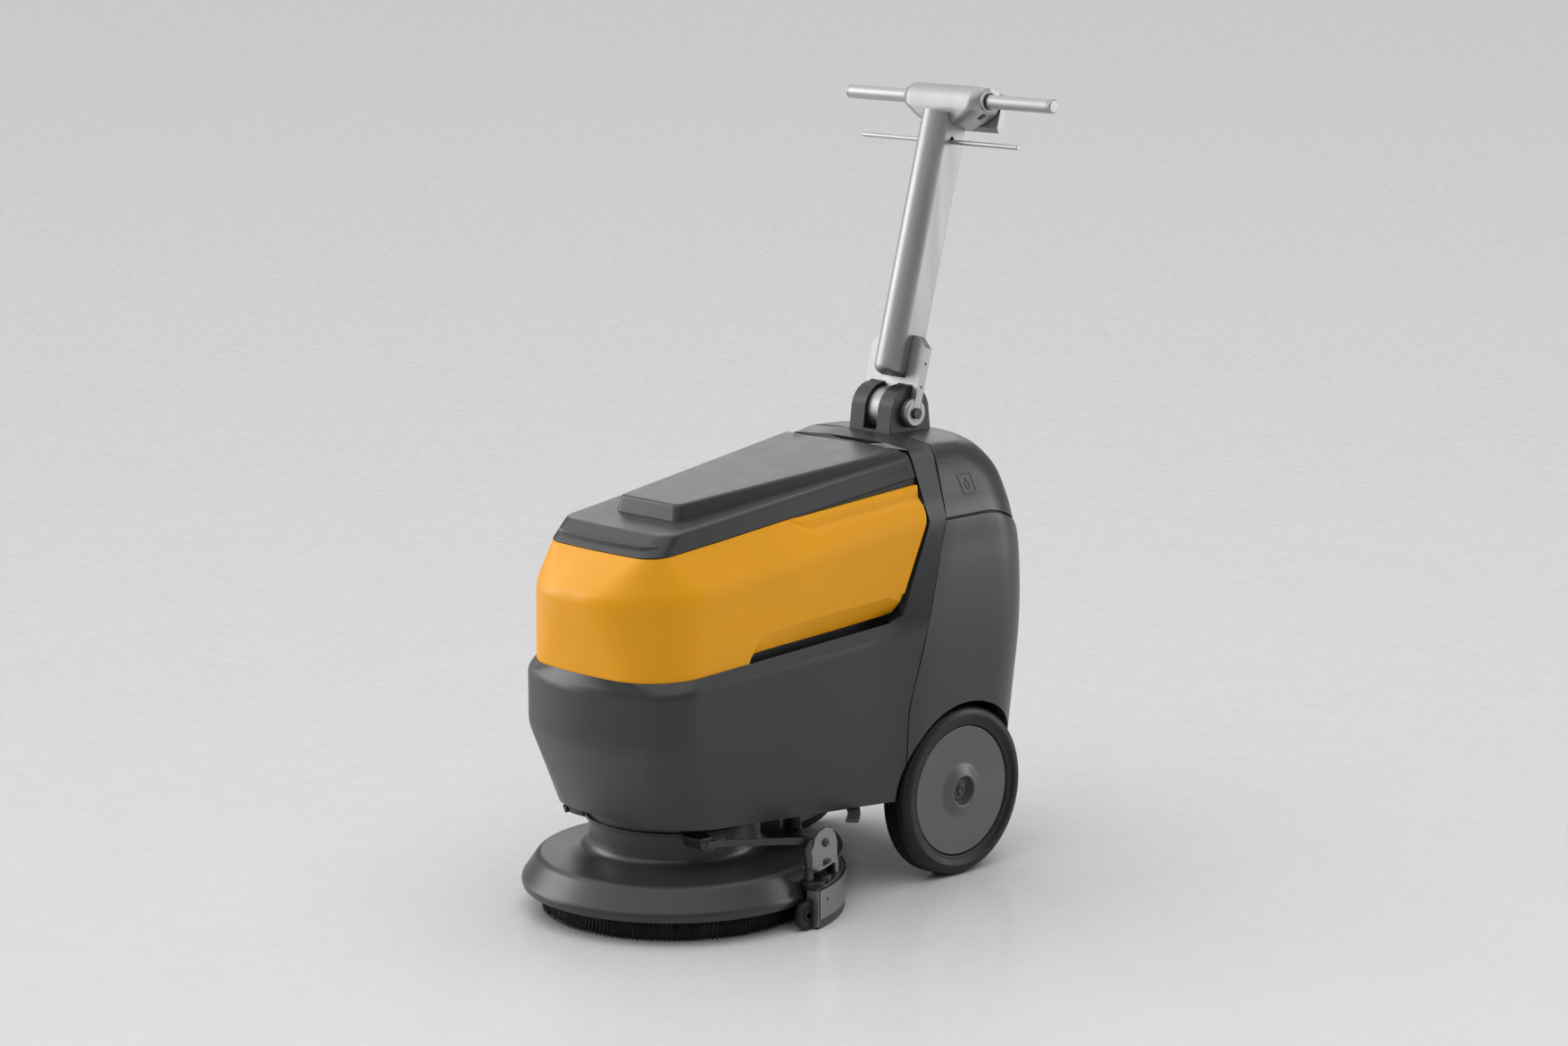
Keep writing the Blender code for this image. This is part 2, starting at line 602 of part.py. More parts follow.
# ---- wheels --------------------------------------------------------------------------------------
def make_wheel(name, side):
    axis = PIVOTS["wheel_%s_axis" % name]
    quarter = (0, side * math.pi / 2, 0)
    outer = WHEEL_OUTER_X
    inner = outer - TYRE_WIDTH
    tyre = [(0.0905, outer - 0.004), (0.0975, outer - 0.0004), (0.1030, outer - 0.001),
            (0.1075, outer - 0.005), (WHEEL_RADIUS, outer - 0.012), (WHEEL_RADIUS, inner + 0.008),
            (0.1065, inner + 0.001), (0.0975, inner), (0.0840, inner + 0.003), (0.0835, outer - 0.008)]
    turned("tyre_" + name, tyre, BLACK_RUBBER, 36, closed=True, parent=axis, turn=quarter)
    disc = [(0.0190, outer), (0.0220, outer), (0.0340, outer - 0.0054), (0.0815, outer - 0.0045),
            (0.0831, outer - 0.006), (0.0831, inner + 0.003), (0.0800, inner + 0.003),
            (0.0790, outer - 0.011), (0.0300, outer - 0.011), (0.0240, inner + 0.001),
            (0.0086, inner + 0.001), (0.0086, outer - 0.0105), (0.0190, outer - 0.0100)]
    turned("wheel_disc_" + name, disc, WHEEL_GREY, 28, closed=True, parent=axis, turn=quarter)
    screw = [(0, 0.1612), (0.0062, 0.1612), (0.0066, 0.1600), (0.0134, 0.1595), (0.0134, 0.1575),
             (0, 0.1575)]
    turned("axle_screw_" + name, screw, DARK_PLASTIC, 14, place=(0, WHEEL_Y, WHEEL_RADIUS), turn=quarter)
    low = side * 0.094
    high = side * 0.100
    bracket = add_box("axle_bracket_" + name, (min(low, high), WHEEL_Y - 0.018, WHEEL_RADIUS - 0.014),
                      (max(low, high), WHEEL_Y + 0.018, 0.1296), STEEL)
    combine(bracket, AXLE_HOLE)


def make_axle():
    axle = [(0, 0.1570), (AXLE_RADIUS, 0.1570), (AXLE_RADIUS, -0.1570), (0, -0.1570)]
    turned("wheel_axle", axle, STEEL, 20, place=(0, WHEEL_Y, WHEEL_RADIUS), turn=(0, math.pi / 2, 0))


# ---- inside --------------------------------------------------------------------------------------
def make_inside():
    add_box("chassis_plate", (-0.112, 0.112, 0.1300), (0.112, 0.455, 0.1340), STEEL)
    add_box("battery_pack", (-0.085, 0.245, 0.1345), (0.085, 0.425, 0.225), BATTERY_CASE, 0.006)
    add_box("component_shelf", (-0.120, 0.262, 0.2255), (0.120, 0.462, 0.2285), STEEL)
    fan = [(0, 0.318), (0.030, 0.318), (0.034, 0.312), (0.034, 0.272), (0.058, 0.266), (0.062, 0.258),
           (0.062, 0.2290), (0, 0.2290)]
    turned("suction_motor", fan, DARK_PLASTIC, 20, place=(0.03, 0.375, 0))
    add_box("control_board", (-0.105, 0.290, 0.2290), (-0.098, 0.410, 0.300), BOARD_GREEN)
    add_box("solution_pump", (-0.100, 0.150, 0.1345), (-0.045, 0.205, 0.180), DARK_PLASTIC, 0.005)
    hose = [(-0.07, 0.1495, 0.158), (-0.070, 0.125, 0.158), (-0.068, 0.105, 0.158), (-0.062, 0.085, 0.155),
            (-0.056, 0.072, 0.146), (-0.053, 0.066, 0.1300)]
    tube("solution_hose", hose, 0.005, BLACK_RUBBER, 2)


# ---- handle --------------------------------------------------------------------------------------
def along_x(name, radius, low, high, place, sides=32, parent=None):
    return cutter(name, cylinder_mesh(name, radius, low, high, sides), place, (0, math.pi / 2, 0), parent)


def make_bracket():
    """The block on the cap: two rounded ears with a slot between them for the handle's tongue."""
    radius = 0.0345
    foot = 0.0390
    low_z = 0.5412
    front = [(PIVOT_Y - foot, low_z), (PIVOT_Y + foot, low_z)]
    dome = [(PIVOT_Y + radius * math.cos(math.pi * i / 14), PIVOT_Z + radius * math.sin(math.pi * i / 14))
            for i in range(15)]
    mesh = extrude_mesh("handle_bracket", front + dome, -0.036, 0.036, "x")
    bracket = add_part("handle_bracket", mesh, DARK_PLASTIC)
    slot = box_mesh("tongue_slot", (-0.0112, 0.30, 0.5560), (0.0112, 0.44, 0.70))
    combine(bracket, cutter("tongue_slot", slot))
    combine(bracket, along_x("tongue_room", 0.0305, -0.0112, 0.0112, (0, PIVOT_Y, PIVOT_Z)))
    combine(bracket, along_x("pin_bore", 0.0073, -0.1, 0.1, (0, PIVOT_Y, PIVOT_Z), 24))
    pin = [(0, 0.0500), (0.0070, 0.0500), (0.0070, -0.0500), (0, -0.0500)]
    turned("pivot_pin", pin, STEEL, 24, place=(0, PIVOT_Y, PIVOT_Z), turn=(0, math.pi / 2, 0))
    return cutter("bracket_foot", box_mesh("bracket_foot", (-0.0364, PIVOT_Y - foot - GAP, 0.5408),
                                           (0.0364, PIVOT_Y + foot + GAP, 0.60)))


def column_section(grow=0.0, height=0.0, scale=1.0):
    """A D: a half-round front and flat sides. The column's own axes: X across, Y to the rear."""
    radius = 0.0212 + grow
    centre_y = -0.0134
    points = [(-radius * math.cos(math.pi * i / 12), centre_y - radius * math.sin(math.pi * i / 12))
              for i in range(13)]
    points += [(radius, 0.019 + grow), (-radius, 0.019 + grow)]
    return [(scale * x, scale * y, height) for x, y in points]


def make_column():
    fold = PIVOTS["handle_fold"]
    rings = [column_section(height=0.0430, scale=0.62), column_section(height=0.0460, scale=0.84),
             column_section(height=0.0540), column_section(height=0.3850)]
    column = add_part("handle_column", loft_mesh("handle_column", rings), CAST_ALUMINIUM, parent=fold)
    bore = [column_section(-0.0025, 0.080), column_section(-0.0025, 0.40)]
    combine(column, cutter("column_bore", loft_mesh("column_bore", bore), parent=fold))
    slot = box_mesh("trigger_slot", (-0.05, -0.0072, TRIGGER_REACH - 0.0038),
                    (0.05, 0.0004, TRIGGER_REACH + TRIGGER_TRAVEL + 0.0038))
    combine(column, cutter("trigger_slot", slot, parent=fold))


def make_yoke():
    fold = PIVOTS["handle_fold"]
    outline = [(0, -0.0465), (0, 0.0465), (0.084, 0.0465), (0.098, 0.030), (0.098, -0.030),
               (0.084, -0.0465)]
    yoke = add_part("handle_yoke", extrude_mesh("handle_yoke", outline, -0.006, 0.006, "y"), CAST_ALUMINIUM,
                    parent=fold)
    for side in (-1, 1):
        room_low, room_high = sorted((side * 0.0108, side * 0.0373))
        combine(yoke, along_x("ear_room_%d" % side, 0.0357, room_low, room_high, (0, 0, 0), parent=fold))
        eye_low, eye_high = sorted((side * 0.0375, side * 0.0463))
        combine(yoke, along_x("eye_%d" % side, 0.0101, eye_low, eye_high, (0, 0, 0), 20, fold), "UNION")
    combine(yoke, along_x("drum", 0.0298, -0.0106, 0.0106, (0, 0, 0), parent=fold), "UNION")
    socket = [column_section(GAP, 0.0425), column_section(GAP, 0.12)]
    combine(yoke, cutter("column_socket", loft_mesh("column_socket", socket), parent=fold))
    combine(yoke, along_x("yoke_bore", 0.0074, -0.1, 0.1, (0, 0, 0), 24, fold))
    for name, side in (("left", 1), ("right", -1)):
        hub = [(0.0105, 0.0460), (0.0165, 0.0460), (0.0190, 0.0440), (0.0190, 0.0364), (0.0105, 0.0364)]
        hub_part = turned("pivot_hub_" + name, hub, CAST_ALUMINIUM, 20, closed=True, parent=fold,
                          turn=(0, side * math.pi / 2, 0))
        notch = box_mesh("hub_notch_" + name, (-0.06, -0.0066, 0.0), (0.06, 0.0066, 0.04))
        combine(hub_part, cutter("hub_notch_" + name, notch, parent=fold))


def head_ring(half_width, front, rear, height, corner=0.010):
    """A rounded rectangle across the column's top."""
    centres = ((half_width - corner, rear - corner), (-half_width + corner, rear - corner),
               (-half_width + corner, front + corner), (half_width - corner, front + corner))
    points = []
    for quarter, (x, y) in enumerate(centres):
        for step in range(4):
            angle = math.pi / 2 * (quarter + step / 3)
            points.append((x + corner * math.cos(angle), y + corner * math.sin(angle), height))
    return points


def make_head():
    fold = PIVOTS["handle_fold"]
    rings = [head_ring(0.030, -0.0120, 0.0220, 0.3705), head_ring(0.0500, -0.0160, 0.0235, 0.3810),
             head_ring(0.0655, -0.0195, 0.0245, 0.3920), head_ring(0.0680, -0.0210, 0.0245, 0.4054),
             head_ring(0.0675, -0.0180, 0.0235, 0.4160), head_ring(0.0655, -0.0110, 0.0215, 0.4220)]
    head = add_part("handle_head", loft_mesh("handle_head", rings), CAST_ALUMINIUM, parent=fold)
    neck = [column_section(GAP, 0.34), column_section(GAP, 0.3850 + GAP)]
    combine(head, cutter("head_socket", loft_mesh("head_socket", neck), parent=fold))
    combine(head, along_x("bar_bore", BAR_RADIUS + GAP, -0.2, 0.2, (0, 0, BAR_REACH), 28, fold))
    bar = [(0, 0.1740), (BAR_RADIUS, 0.1740), (BAR_RADIUS, -0.1740), (0, -0.1740)]
    turned("handle_bar", bar, CAST_ALUMINIUM, 24, parent=fold, place=(0, 0, BAR_REACH),
           turn=(0, math.pi / 2, 0))
    for name, side in (("left", 1), ("right", -1)):
        cap = [(0, BAR_HALF), (0.0070, BAR_HALF), (0.0090, BAR_HALF - 0.002), (0.0090, 0.1744),
               (0, 0.1744)]
        turned("bar_cap_" + name, cap, CAST_ALUMINIUM, 24, parent=fold, place=(0, 0, BAR_REACH),
               turn=(0, side * math.pi / 2, 0))
    outline = [(0.0250, 0.4200), (0.0250, 0.3760), (0.0300, 0.3700), (0.0370, 0.3800), (0.0340, 0.4200)]
    panel_mesh = extrude_mesh("control_panel", outline, -0.068, 0.068, "x")
    panel = add_part("control_panel", panel_mesh, DARK_PLASTIC, parent=fold)
    well = cylinder_mesh("button_well", 0.0085, 0.0295, 0.09, 24)
    combine(panel, cutter("button_well", well, (0.0, 0.0, 0.405), (-math.pi / 2, 0, 0), fold))
    button = [(0, 0.0395), (0.0070, 0.0395), (0.0080, 0.0385), (0.0080, 0.0325), (0, 0.0325)]
    turned("power_button", button, ORANGE_TANK, 16, parent=fold, place=(0, 0, 0.405),
           turn=(-math.pi / 2, 0, 0))


def make_trigger():
    rod = [(0, TRIGGER_HALF), (TRIGGER_RADIUS, TRIGGER_HALF), (TRIGGER_RADIUS, -TRIGGER_HALF),
           (0, -TRIGGER_HALF)]
    turned("trigger_bar", rod, CAST_ALUMINIUM, 16, parent=PIVOTS["handle_fold"],
           place=(0, -0.0034, TRIGGER_REACH), turn=(0, math.pi / 2, 0))


# ---- squeegee ------------------------------------------------------------------------------------
def arc_mesh(name, section, start, finish, steps):
    """A section of (radius, height) points swept about the brush axis."""
    rings = []
    for i in range(steps + 1):
        angle = start + (finish - start) * i / steps
        rings.append([(r * math.cos(angle), r * math.sin(angle), z) for r, z in section])
    return face_outwards(loft_mesh(name, rings))


def band(inner, outer, low, high):
    return [(inner, low), (outer, low), (outer, high), (inner, high)]


def bar_mesh(name, path, thickness, height):
    """A flat bar on edge along a path."""
    spots = [Vector(p) for p in path]
    rings = []
    for i, spot in enumerate(spots):
        run = spots[min(i + 1, len(spots) - 1)] - spots[max(i - 1, 0)]
        across = Vector((-run.y, run.x, 0)).normalized() * thickness / 2
        rise = Vector((0, 0, height / 2))
        rings.append([spot - across - rise, spot + across - rise,
                      spot + across + rise, spot - across + rise])
    return face_outwards(loft_mesh(name, rings))


def make_squeegee():
    lift = PIVOTS["squeegee_lift"]
    swing = PIVOTS["squeegee_swing"]
    ring = [(0.1250, 0.1190), (0.1250, 0.1150), (0.1067, 0.1150), (0.1067, 0.1190)]
    swivel = turned("squeegee_swivel", ring, DARK_PLASTIC, 32, closed=True)
    for side, name in ((1, "left"), (-1, "right")):
        low_x, high_x = sorted((side * 0.1100, side * 0.1215))
        lug = box_mesh("lug_" + name, (low_x, LIFT_Y - 0.012, 0.1035), (high_x, LIFT_Y + 0.012, 0.1230))
        combine(swivel, cutter("lug_" + name, lug), "UNION")
        pin_low, pin_high = sorted((side * 0.1200, side * 0.1285))
        pin = along_x("lift_pin_" + name, 0.0026, pin_low, pin_high, (0, LIFT_Y, LIFT_Z), 14)
        combine(swivel, pin, "UNION")
        make_squeegee_side(name, side)
    hang(swivel, swing)
    start = SQUEEGEE_END
    top = band(0.1965, 0.2085, 0.046, 0.050)
    body_mesh = arc_mesh("squeegee_body", top, start, math.pi - start, 24)
    body = add_part("squeegee_body", body_mesh, CAST_ALUMINIUM)
    skirt = band(0.1985, 0.2065, 0.010, 0.048)
    skirt_start = start + 0.09
    skirt_mesh = arc_mesh("squeegee_skirt", skirt, skirt_start, math.pi - skirt_start, 22)
    combine(body, cutter("squeegee_skirt", skirt_mesh), "UNION")
    hang(body, lift)
    blades = (("squeegee_blade_front", band(0.1960, 0.1981, 0.0, 0.040), skirt_start, BLADE_RUBBER),
              ("squeegee_blade_rear", band(0.2090, 0.2108, 0.0, 0.048), start, BLADE_RUBBER),
              ("blade_clamp", band(0.2112, 0.2124, 0.012, 0.048), start + 0.01, STEEL))
    for name, section, begin, finish in blades:
        hang(add_part(name, arc_mesh(name, section, begin, math.pi - begin, 26), finish), lift)
    nozzle = [(0.0110, 0.0860), (0.0130, 0.0860), (0.0130, 0.0600), (0.0150, 0.0560), (0.0150, 0.0504),
              (0.0110, 0.0504)]
    hang(turned("suction_nozzle", nozzle, DARK_PLASTIC, 16, closed=True, place=(0, 0.2020, 0)), lift)


def make_squeegee_side(name, side):
    lift = PIVOTS["squeegee_lift"]
    path = [(0.1242, -0.070, LIFT_Z), (0.1242, -0.054, LIFT_Z), (0.1320, -0.025, 0.1085),
            (0.1480, 0.010, 0.1060), (0.1660, 0.043, 0.1040), (0.1836, 0.066, 0.1030)]
    arm_mesh = bar_mesh("squeegee_arm_" + name, [(side * x, y, z) for x, y, z in path], 0.004, 0.0085)
    arm = add_part("squeegee_arm_" + name, arm_mesh, STEEL)
    combine(arm, along_x("arm_bore_" + name, 0.0030, -0.2, 0.2, (0, LIFT_Y, LIFT_Z), 14))
    hang(arm, lift)
    angles = sorted((math.pi / 2 - side * (math.pi / 2 - 0.24), math.pi / 2 - side * (math.pi / 2 - 1.10)))
    flange_section = band(0.1850, 0.2085, 0.0720, 0.0750)
    flange = arc_mesh("squeegee_carrier_" + name, flange_section, angles[0], angles[1], 10)
    carrier = add_part("squeegee_carrier_" + name, flange, STEEL)
    plate_outline = [(0.050, 0.0725), (0.094, 0.0725), (0.094, 0.095)]
    turns = [math.pi * i / 6 for i in range(7)]
    plate_outline += [(0.0735 + 0.0205 * math.cos(t), 0.0985 + 0.0205 * math.sin(t)) for t in turns]
    plate_outline.append((0.050, 0.095))
    low_x, high_x = sorted((side * 0.1866, side * 0.1900))
    plate = extrude_mesh("carrier_plate_" + name, plate_outline, low_x, high_x, "x")
    combine(carrier, cutter("carrier_plate_" + name, plate), "UNION")
    post_angle = 0.62
    post = cylinder_mesh("carrier_post_" + name, 0.004, 0.0503, 0.0735, 12)
    spot = (side * 0.2015 * math.cos(post_angle), 0.2015 * math.sin(post_angle), 0)
    combine(carrier, cutter("carrier_post_" + name, post, spot), "UNION")
    hang(carrier, lift)
    angles = sorted((math.pi / 2 - side * (math.pi / 2 - 0.62), math.pi / 2 - side * (math.pi / 2 - 0.92)))
    catch = arc_mesh("catch_plate_" + name, band(0.2140, 0.2300, 0.1130, 0.1180), angles[0], angles[1], 4)
    add_part("catch_plate_" + name, catch, DARK_PLASTIC)
    wheel = [(0.0040, 0.0050), (0.0155, 0.0050), (0.0183, 0.0030), (0.0183, -0.0030), (0.0155, -0.0050),
             (0.0040, -0.0050)]
    wheel_axis = empty("end_wheel_axis_" + name, (side * 0.1960, 0.0350, 0.0190))
    turned("end_wheel_" + name, wheel, BLACK_RUBBER, 18, closed=True, parent=wheel_axis,
           turn=(0, side * math.pi / 2, 0))
    bumper = [(0.0040, 0.0095), (0.0130, 0.0095), (0.0155, 0.0075), (0.0155, 0.0022), (0.0135, 0),
              (0.0040, 0)]
    bumper_axis = empty("bumper_axis_" + name, (side * 0.1925, 0.0490, 0.0504))
    turned("bumper_" + name, bumper, BLACK_RUBBER, 18, closed=True, parent=bumper_axis)


# ---- small fittings ------------------------------------------------------------------------------
def make_fittings():
    seal = mirrored([Vector((x, y, 0)) for x, y in ((0, -0.092), (0.074, -0.0895), (0.0845, -0.079),
                                                    (0.105, 0.255), (0, 0.262))])
    outer = [Vector((p.x, p.y, lid_crease_z(p.y) - 0.0095)) for p in seal]
    centre = Vector((0, 0.08, 0))
    inner = [Vector((0.93 * p.x, centre.y + 0.96 * (p.y - centre.y), p.z)) for p in outer]
    drop = Vector((0, 0, 0.004))
    rings = [outer, [p + drop for p in outer], [p + drop for p in inner], inner]
    bm = bmesh.new()
    rows = [[bm.verts.new(p) for p in ring] for ring in rings]
    for low, high in zip(rows, rows[1:] + rows[:1]):
        for i in range(len(low)):
            j = (i + 1) % len(low)
            bm.faces.new((low[i], low[j], high[j], high[i]))
    bmesh.ops.recalc_face_normals(bm, faces=bm.faces)
    hang(add_part("lid_seal", to_mesh("lid_seal", bm), BLACK_RUBBER), PIVOTS["lid_hinge"])
    cage = [(0.0180, 0.4380), (0.0220, 0.4380), (0.0220, 0.3700), (0.0180, 0.3700)]
    hang(turned("float_cage", cage, DARK_PLASTIC, 16, closed=True, place=(0, 0.20, 0)), PIVOTS["tank_slide"])
    cap = [(0, 0.0140), (0.0240, 0.0140), (0.0270, 0.0110), (0.0270, 0.0004), (0, 0.0004)]
    turned("filler_cap", cap, DARK_PLASTIC, 20, place=(-0.060, 0.5000, 0.400), turn=(-math.pi / 2, 0, 0))


PIVOTS = make_pivots()
AXLE_HOLE = along_x("axle_hole", AXLE_RADIUS + 0.0004, -0.2, 0.2, (0, WHEEL_Y, WHEEL_RADIUS), 20)
foot = make_bracket()
combine(make_hull(), foot)
make_rear_cover()
combine(make_top_cap(), foot)
make_recovery_tank()
make_lid()
make_deck()
make_brush()
make_wheel("left", 1)
make_wheel("right", -1)
make_axle()
make_inside()
make_column()
make_yoke()
make_head()
make_trigger()
make_squeegee()
make_fittings()
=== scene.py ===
"""The looks of a compact walk-behind floor scrubber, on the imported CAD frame. Metres, +Z up, front -Y."""
import json
from math import atan2, copysign, cos, exp, log1p, pi, radians, sin

import bmesh
import bpy
from mathutils import Matrix, Vector
from mathutils.bvhtree import BVHTree


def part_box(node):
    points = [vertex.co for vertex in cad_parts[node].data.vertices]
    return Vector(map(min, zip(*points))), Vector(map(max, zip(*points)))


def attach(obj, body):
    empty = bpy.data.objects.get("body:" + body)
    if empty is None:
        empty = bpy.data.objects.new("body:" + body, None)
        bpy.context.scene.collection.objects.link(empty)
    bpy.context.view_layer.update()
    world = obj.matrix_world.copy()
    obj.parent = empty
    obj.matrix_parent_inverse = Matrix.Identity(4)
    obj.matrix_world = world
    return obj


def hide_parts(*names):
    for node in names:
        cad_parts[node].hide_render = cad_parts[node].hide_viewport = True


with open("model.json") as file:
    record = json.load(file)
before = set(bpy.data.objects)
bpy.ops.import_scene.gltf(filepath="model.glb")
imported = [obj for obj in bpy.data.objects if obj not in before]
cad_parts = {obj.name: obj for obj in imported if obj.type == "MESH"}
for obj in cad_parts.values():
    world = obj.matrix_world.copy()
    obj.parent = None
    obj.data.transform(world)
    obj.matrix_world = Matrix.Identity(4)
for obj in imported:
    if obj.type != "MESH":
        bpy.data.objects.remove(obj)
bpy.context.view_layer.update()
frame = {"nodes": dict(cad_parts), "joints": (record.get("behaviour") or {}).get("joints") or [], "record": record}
BODY_OF = {node: body for body, nodes in frame["record"]["behaviour"]["bodies"].items() for node in nodes}
JOINTS = {joint["name"]: joint for joint in frame["joints"]}

# ---- sizes taken from the frame ----------------------------------
WHEEL_Y, WHEEL_Z = JOINTS["wheel_left_roll"]["pos_m"][1:]
WHEEL_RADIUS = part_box("tyre_left")[1].z - WHEEL_Z
TYRE_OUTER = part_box("tyre_left")[1].x
TYRE_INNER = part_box("tyre_left")[0].x
BRISTLE_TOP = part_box("brush_bristles")[1].z
PIVOT = Vector(JOINTS["handle_fold"]["pos_m"])
LIFT = Vector(JOINTS["squeegee_lift"]["pos_m"])
LEAN_UP = Vector(JOINTS["trigger_squeeze"]["axis"])
HANDLE = Matrix.Translation(PIVOT) @ Matrix.Rotation(-atan2(LEAN_UP.y, LEAN_UP.z), 4, "X")
BAR_REACH = 0.4054          # pivot to grip bar, along the column
BAR_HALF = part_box("bar_cap_left")[1].x
ARCH_RADIUS = 0.117
NECK_RADIUS = 0.106
WALL = 0.004
SHUT_LINE = 0.0012          # visible gap between two body panels

BODY_SIDE_Y = 0.35          # where the plan outlines reach their widest
KINK_Y = -0.11              # behind this line the body's creases climb towards the rear
SPLIT_Y = 0.2425            # hull to rear cover joint, low on the side
SPLIT_Z = 0.234
SPLIT_LEAN = 0.306
REAR_CORNER = 0.09

WELD = 0.00001              # vertices closer than this are one
FAR = 0.2                   # a cutter's reach, beyond the machine's side
PULL = 0.0034               # the trigger rod and its hole lie this far in front of the column's axis
CLAMP_RADIUS = 0.2124       # outside of the squeegee's clamp strip
SIDES = (("left", 1), ("right", -1))


# ---- materials ---------------------------------------------------
def new_node(tree, kind, **values):
    """A node with its sockets set; an underscore in a key stands for a space in the socket's name."""
    made = tree.nodes.new(kind)
    for key, value in values.items():
        made.inputs[key.replace("_", " ")].default_value = value
    return made


def noise(tree, scale, detail=3.0, stretch=(1, 1, 1)):
    """A noise in object space; stretch above 1 packs it tighter along that axis."""
    place = new_node(tree, "ShaderNodeTexCoord")
    mapping = new_node(tree, "ShaderNodeMapping", Scale=stretch)
    texture = new_node(tree, "ShaderNodeTexNoise", Scale=scale, Detail=detail)
    tree.links.new(place.outputs["Object"], mapping.inputs["Vector"])
    tree.links.new(mapping.outputs["Vector"], texture.inputs["Vector"])
    return texture.outputs["Fac"]


def spread(tree, source, low, high):
    """Stretches the middle of a noise's range over low to high."""
    remap = new_node(tree, "ShaderNodeMapRange", From_Min=0.3, From_Max=0.7, To_Min=low, To_Max=high)
    tree.links.new(source, remap.inputs["Value"])
    return remap.outputs["Result"]


def surface(name, colour, roughness, metallic=0.0, grain=900.0, bump=0.1, mottle=0.08, polish=0.05,
            stretch=(1, 1, 1), sheen_level=0.5):
    """A material with mottled colour, uneven polish and a fine bump."""
    made = bpy.data.materials.new(name)
    made.use_nodes = True
    tree = made.node_tree
    shader = tree.nodes["Principled BSDF"]
    shader.inputs["Metallic"].default_value = metallic
    shader.inputs["Specular IOR Level"].default_value = sheen_level
    mix = tree.nodes.new("ShaderNodeMix")
    mix.data_type = "RGBA"
    mix.inputs["A"].default_value = tuple(c * (1 - mottle) for c in colour) + (1,)
    mix.inputs["B"].default_value = tuple(min(c * (1 + mottle), 1.0) for c in colour) + (1,)
    tree.links.new(spread(tree, noise(tree, 7.0, 4.0, stretch), 0, 1), mix.inputs["Factor"])
    tree.links.new(mix.outputs["Result"], shader.inputs["Base Color"])
    uneven = spread(tree, noise(tree, 40.0, 5.0, stretch), roughness - polish, roughness + polish)
    tree.links.new(uneven, shader.inputs["Roughness"])
    relief = new_node(tree, "ShaderNodeBump", Strength=bump, Distance=0.0002)
    tree.links.new(noise(tree, grain, 2.0, stretch), relief.inputs["Height"])
    tree.links.new(relief.outputs["Normal"], shader.inputs["Normal"])
    return made


GREY = surface("grey_shell_grain", (0.0265, 0.0275, 0.029), 0.36, grain=1400, bump=0.2, mottle=0.05,
               polish=0.02)
DARK = surface("dark_plastic_grain", (0.016, 0.0165, 0.017), 0.42, grain=1200, bump=0.2)
ORANGE = surface("orange_tank_gloss", (0.78, 0.335, 0.003), 0.42, grain=1500, bump=0.08, mottle=0.04,
                 sheen_level=0.28)
RUBBER = surface("tyre_rubber", (0.0045, 0.0045, 0.005), 0.46, grain=700, bump=0.2, sheen_level=0.35)
HUB_GREY = surface("hub_grey", (0.092, 0.093, 0.096), 0.38, grain=1300, bump=0.15)
SILVER = surface("satin_aluminium", (0.36, 0.365, 0.37), 0.47, 1.0, bump=0.05, mottle=0.03,
                 stretch=(1, 1, 0.12))
BAR_SILVER = surface("bar_aluminium", (0.38, 0.385, 0.39), 0.42, 1.0, bump=0.05, mottle=0.03,
                     stretch=(0.1, 1, 1))
STEEL = surface("sheet_steel", (0.27, 0.27, 0.275), 0.36, 1.0, grain=1100, bump=0.06, mottle=0.05,
                stretch=(1, 1, 0.2))
DARK_STEEL = surface("blackened_steel", (0.06, 0.06, 0.063), 0.28, 0.6, bump=0.08)
BRISTLE = surface("nylon_bristle", (0.01, 0.01, 0.011), 0.6, grain=500, bump=0.5, mottle=0.4,
                  stretch=(3, 3, 0.15))
BLADE = surface("blade_rubber", (0.03, 0.027, 0.025), 0.45, bump=0.2)
BATTERY = surface("battery_case_grain", (0.03, 0.035, 0.045), 0.45, bump=0.2)
BOARD = surface("circuit_board", (0.02, 0.13, 0.05), 0.4, grain=300, bump=0.4, mottle=0.3)


# ---- mesh helpers ------------------------------------------------
def new_object(name, data):
    obj = bpy.data.objects.new(name, data)
    bpy.context.scene.collection.objects.link(obj)
    return obj


def to_mesh(name, bm):
    bmesh.ops.recalc_face_normals(bm, faces=bm.faces)
    mesh = bpy.data.meshes.new(name)
    bm.to_mesh(mesh)
    bm.free()
    return mesh


def smooth(mesh):
    for face in mesh.polygons:
        face.use_smooth = True


def add_piece(name, mesh, finish, body, *nodes):
    """A piece riding on a body, standing in for the CAD nodes named, which it hides."""
    if isinstance(mesh, bmesh.types.BMesh):
        mesh = to_mesh(name, mesh)
    obj = new_object(name, mesh)
    mesh.materials.clear()
    mesh.materials.append(finish)
    smooth(mesh)
    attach(obj, body)
    if nodes:
        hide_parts(*nodes)
    return obj


def settle(obj, sharp_degrees=40):
    """Applies the modifiers, marks the sharp edges and evens the shading normals."""
    bpy.context.view_layer.update()
    evaluated = obj.evaluated_get(bpy.context.evaluated_depsgraph_get())
    mesh = bpy.data.meshes.new_from_object(evaluated)
    obj.modifiers.clear()
    obj.data = mesh
    smooth(mesh)
    mesh.set_sharp_from_angle(angle=radians(sharp_degrees))
    even = obj.modifiers.new("even_normals", "WEIGHTED_NORMAL")
    even.keep_sharp = True
    return obj


def add_mirror(obj):
    obj.modifiers.new("mirror", "MIRROR").merge_threshold = 0.0001


def add_wall(obj, share):
    """Thickens a shell inwards by a share of the wall's thickness."""
    shell = obj.modifiers.new("wall", "SOLIDIFY")
    shell.thickness = WALL * share
    shell.offset = -1.0


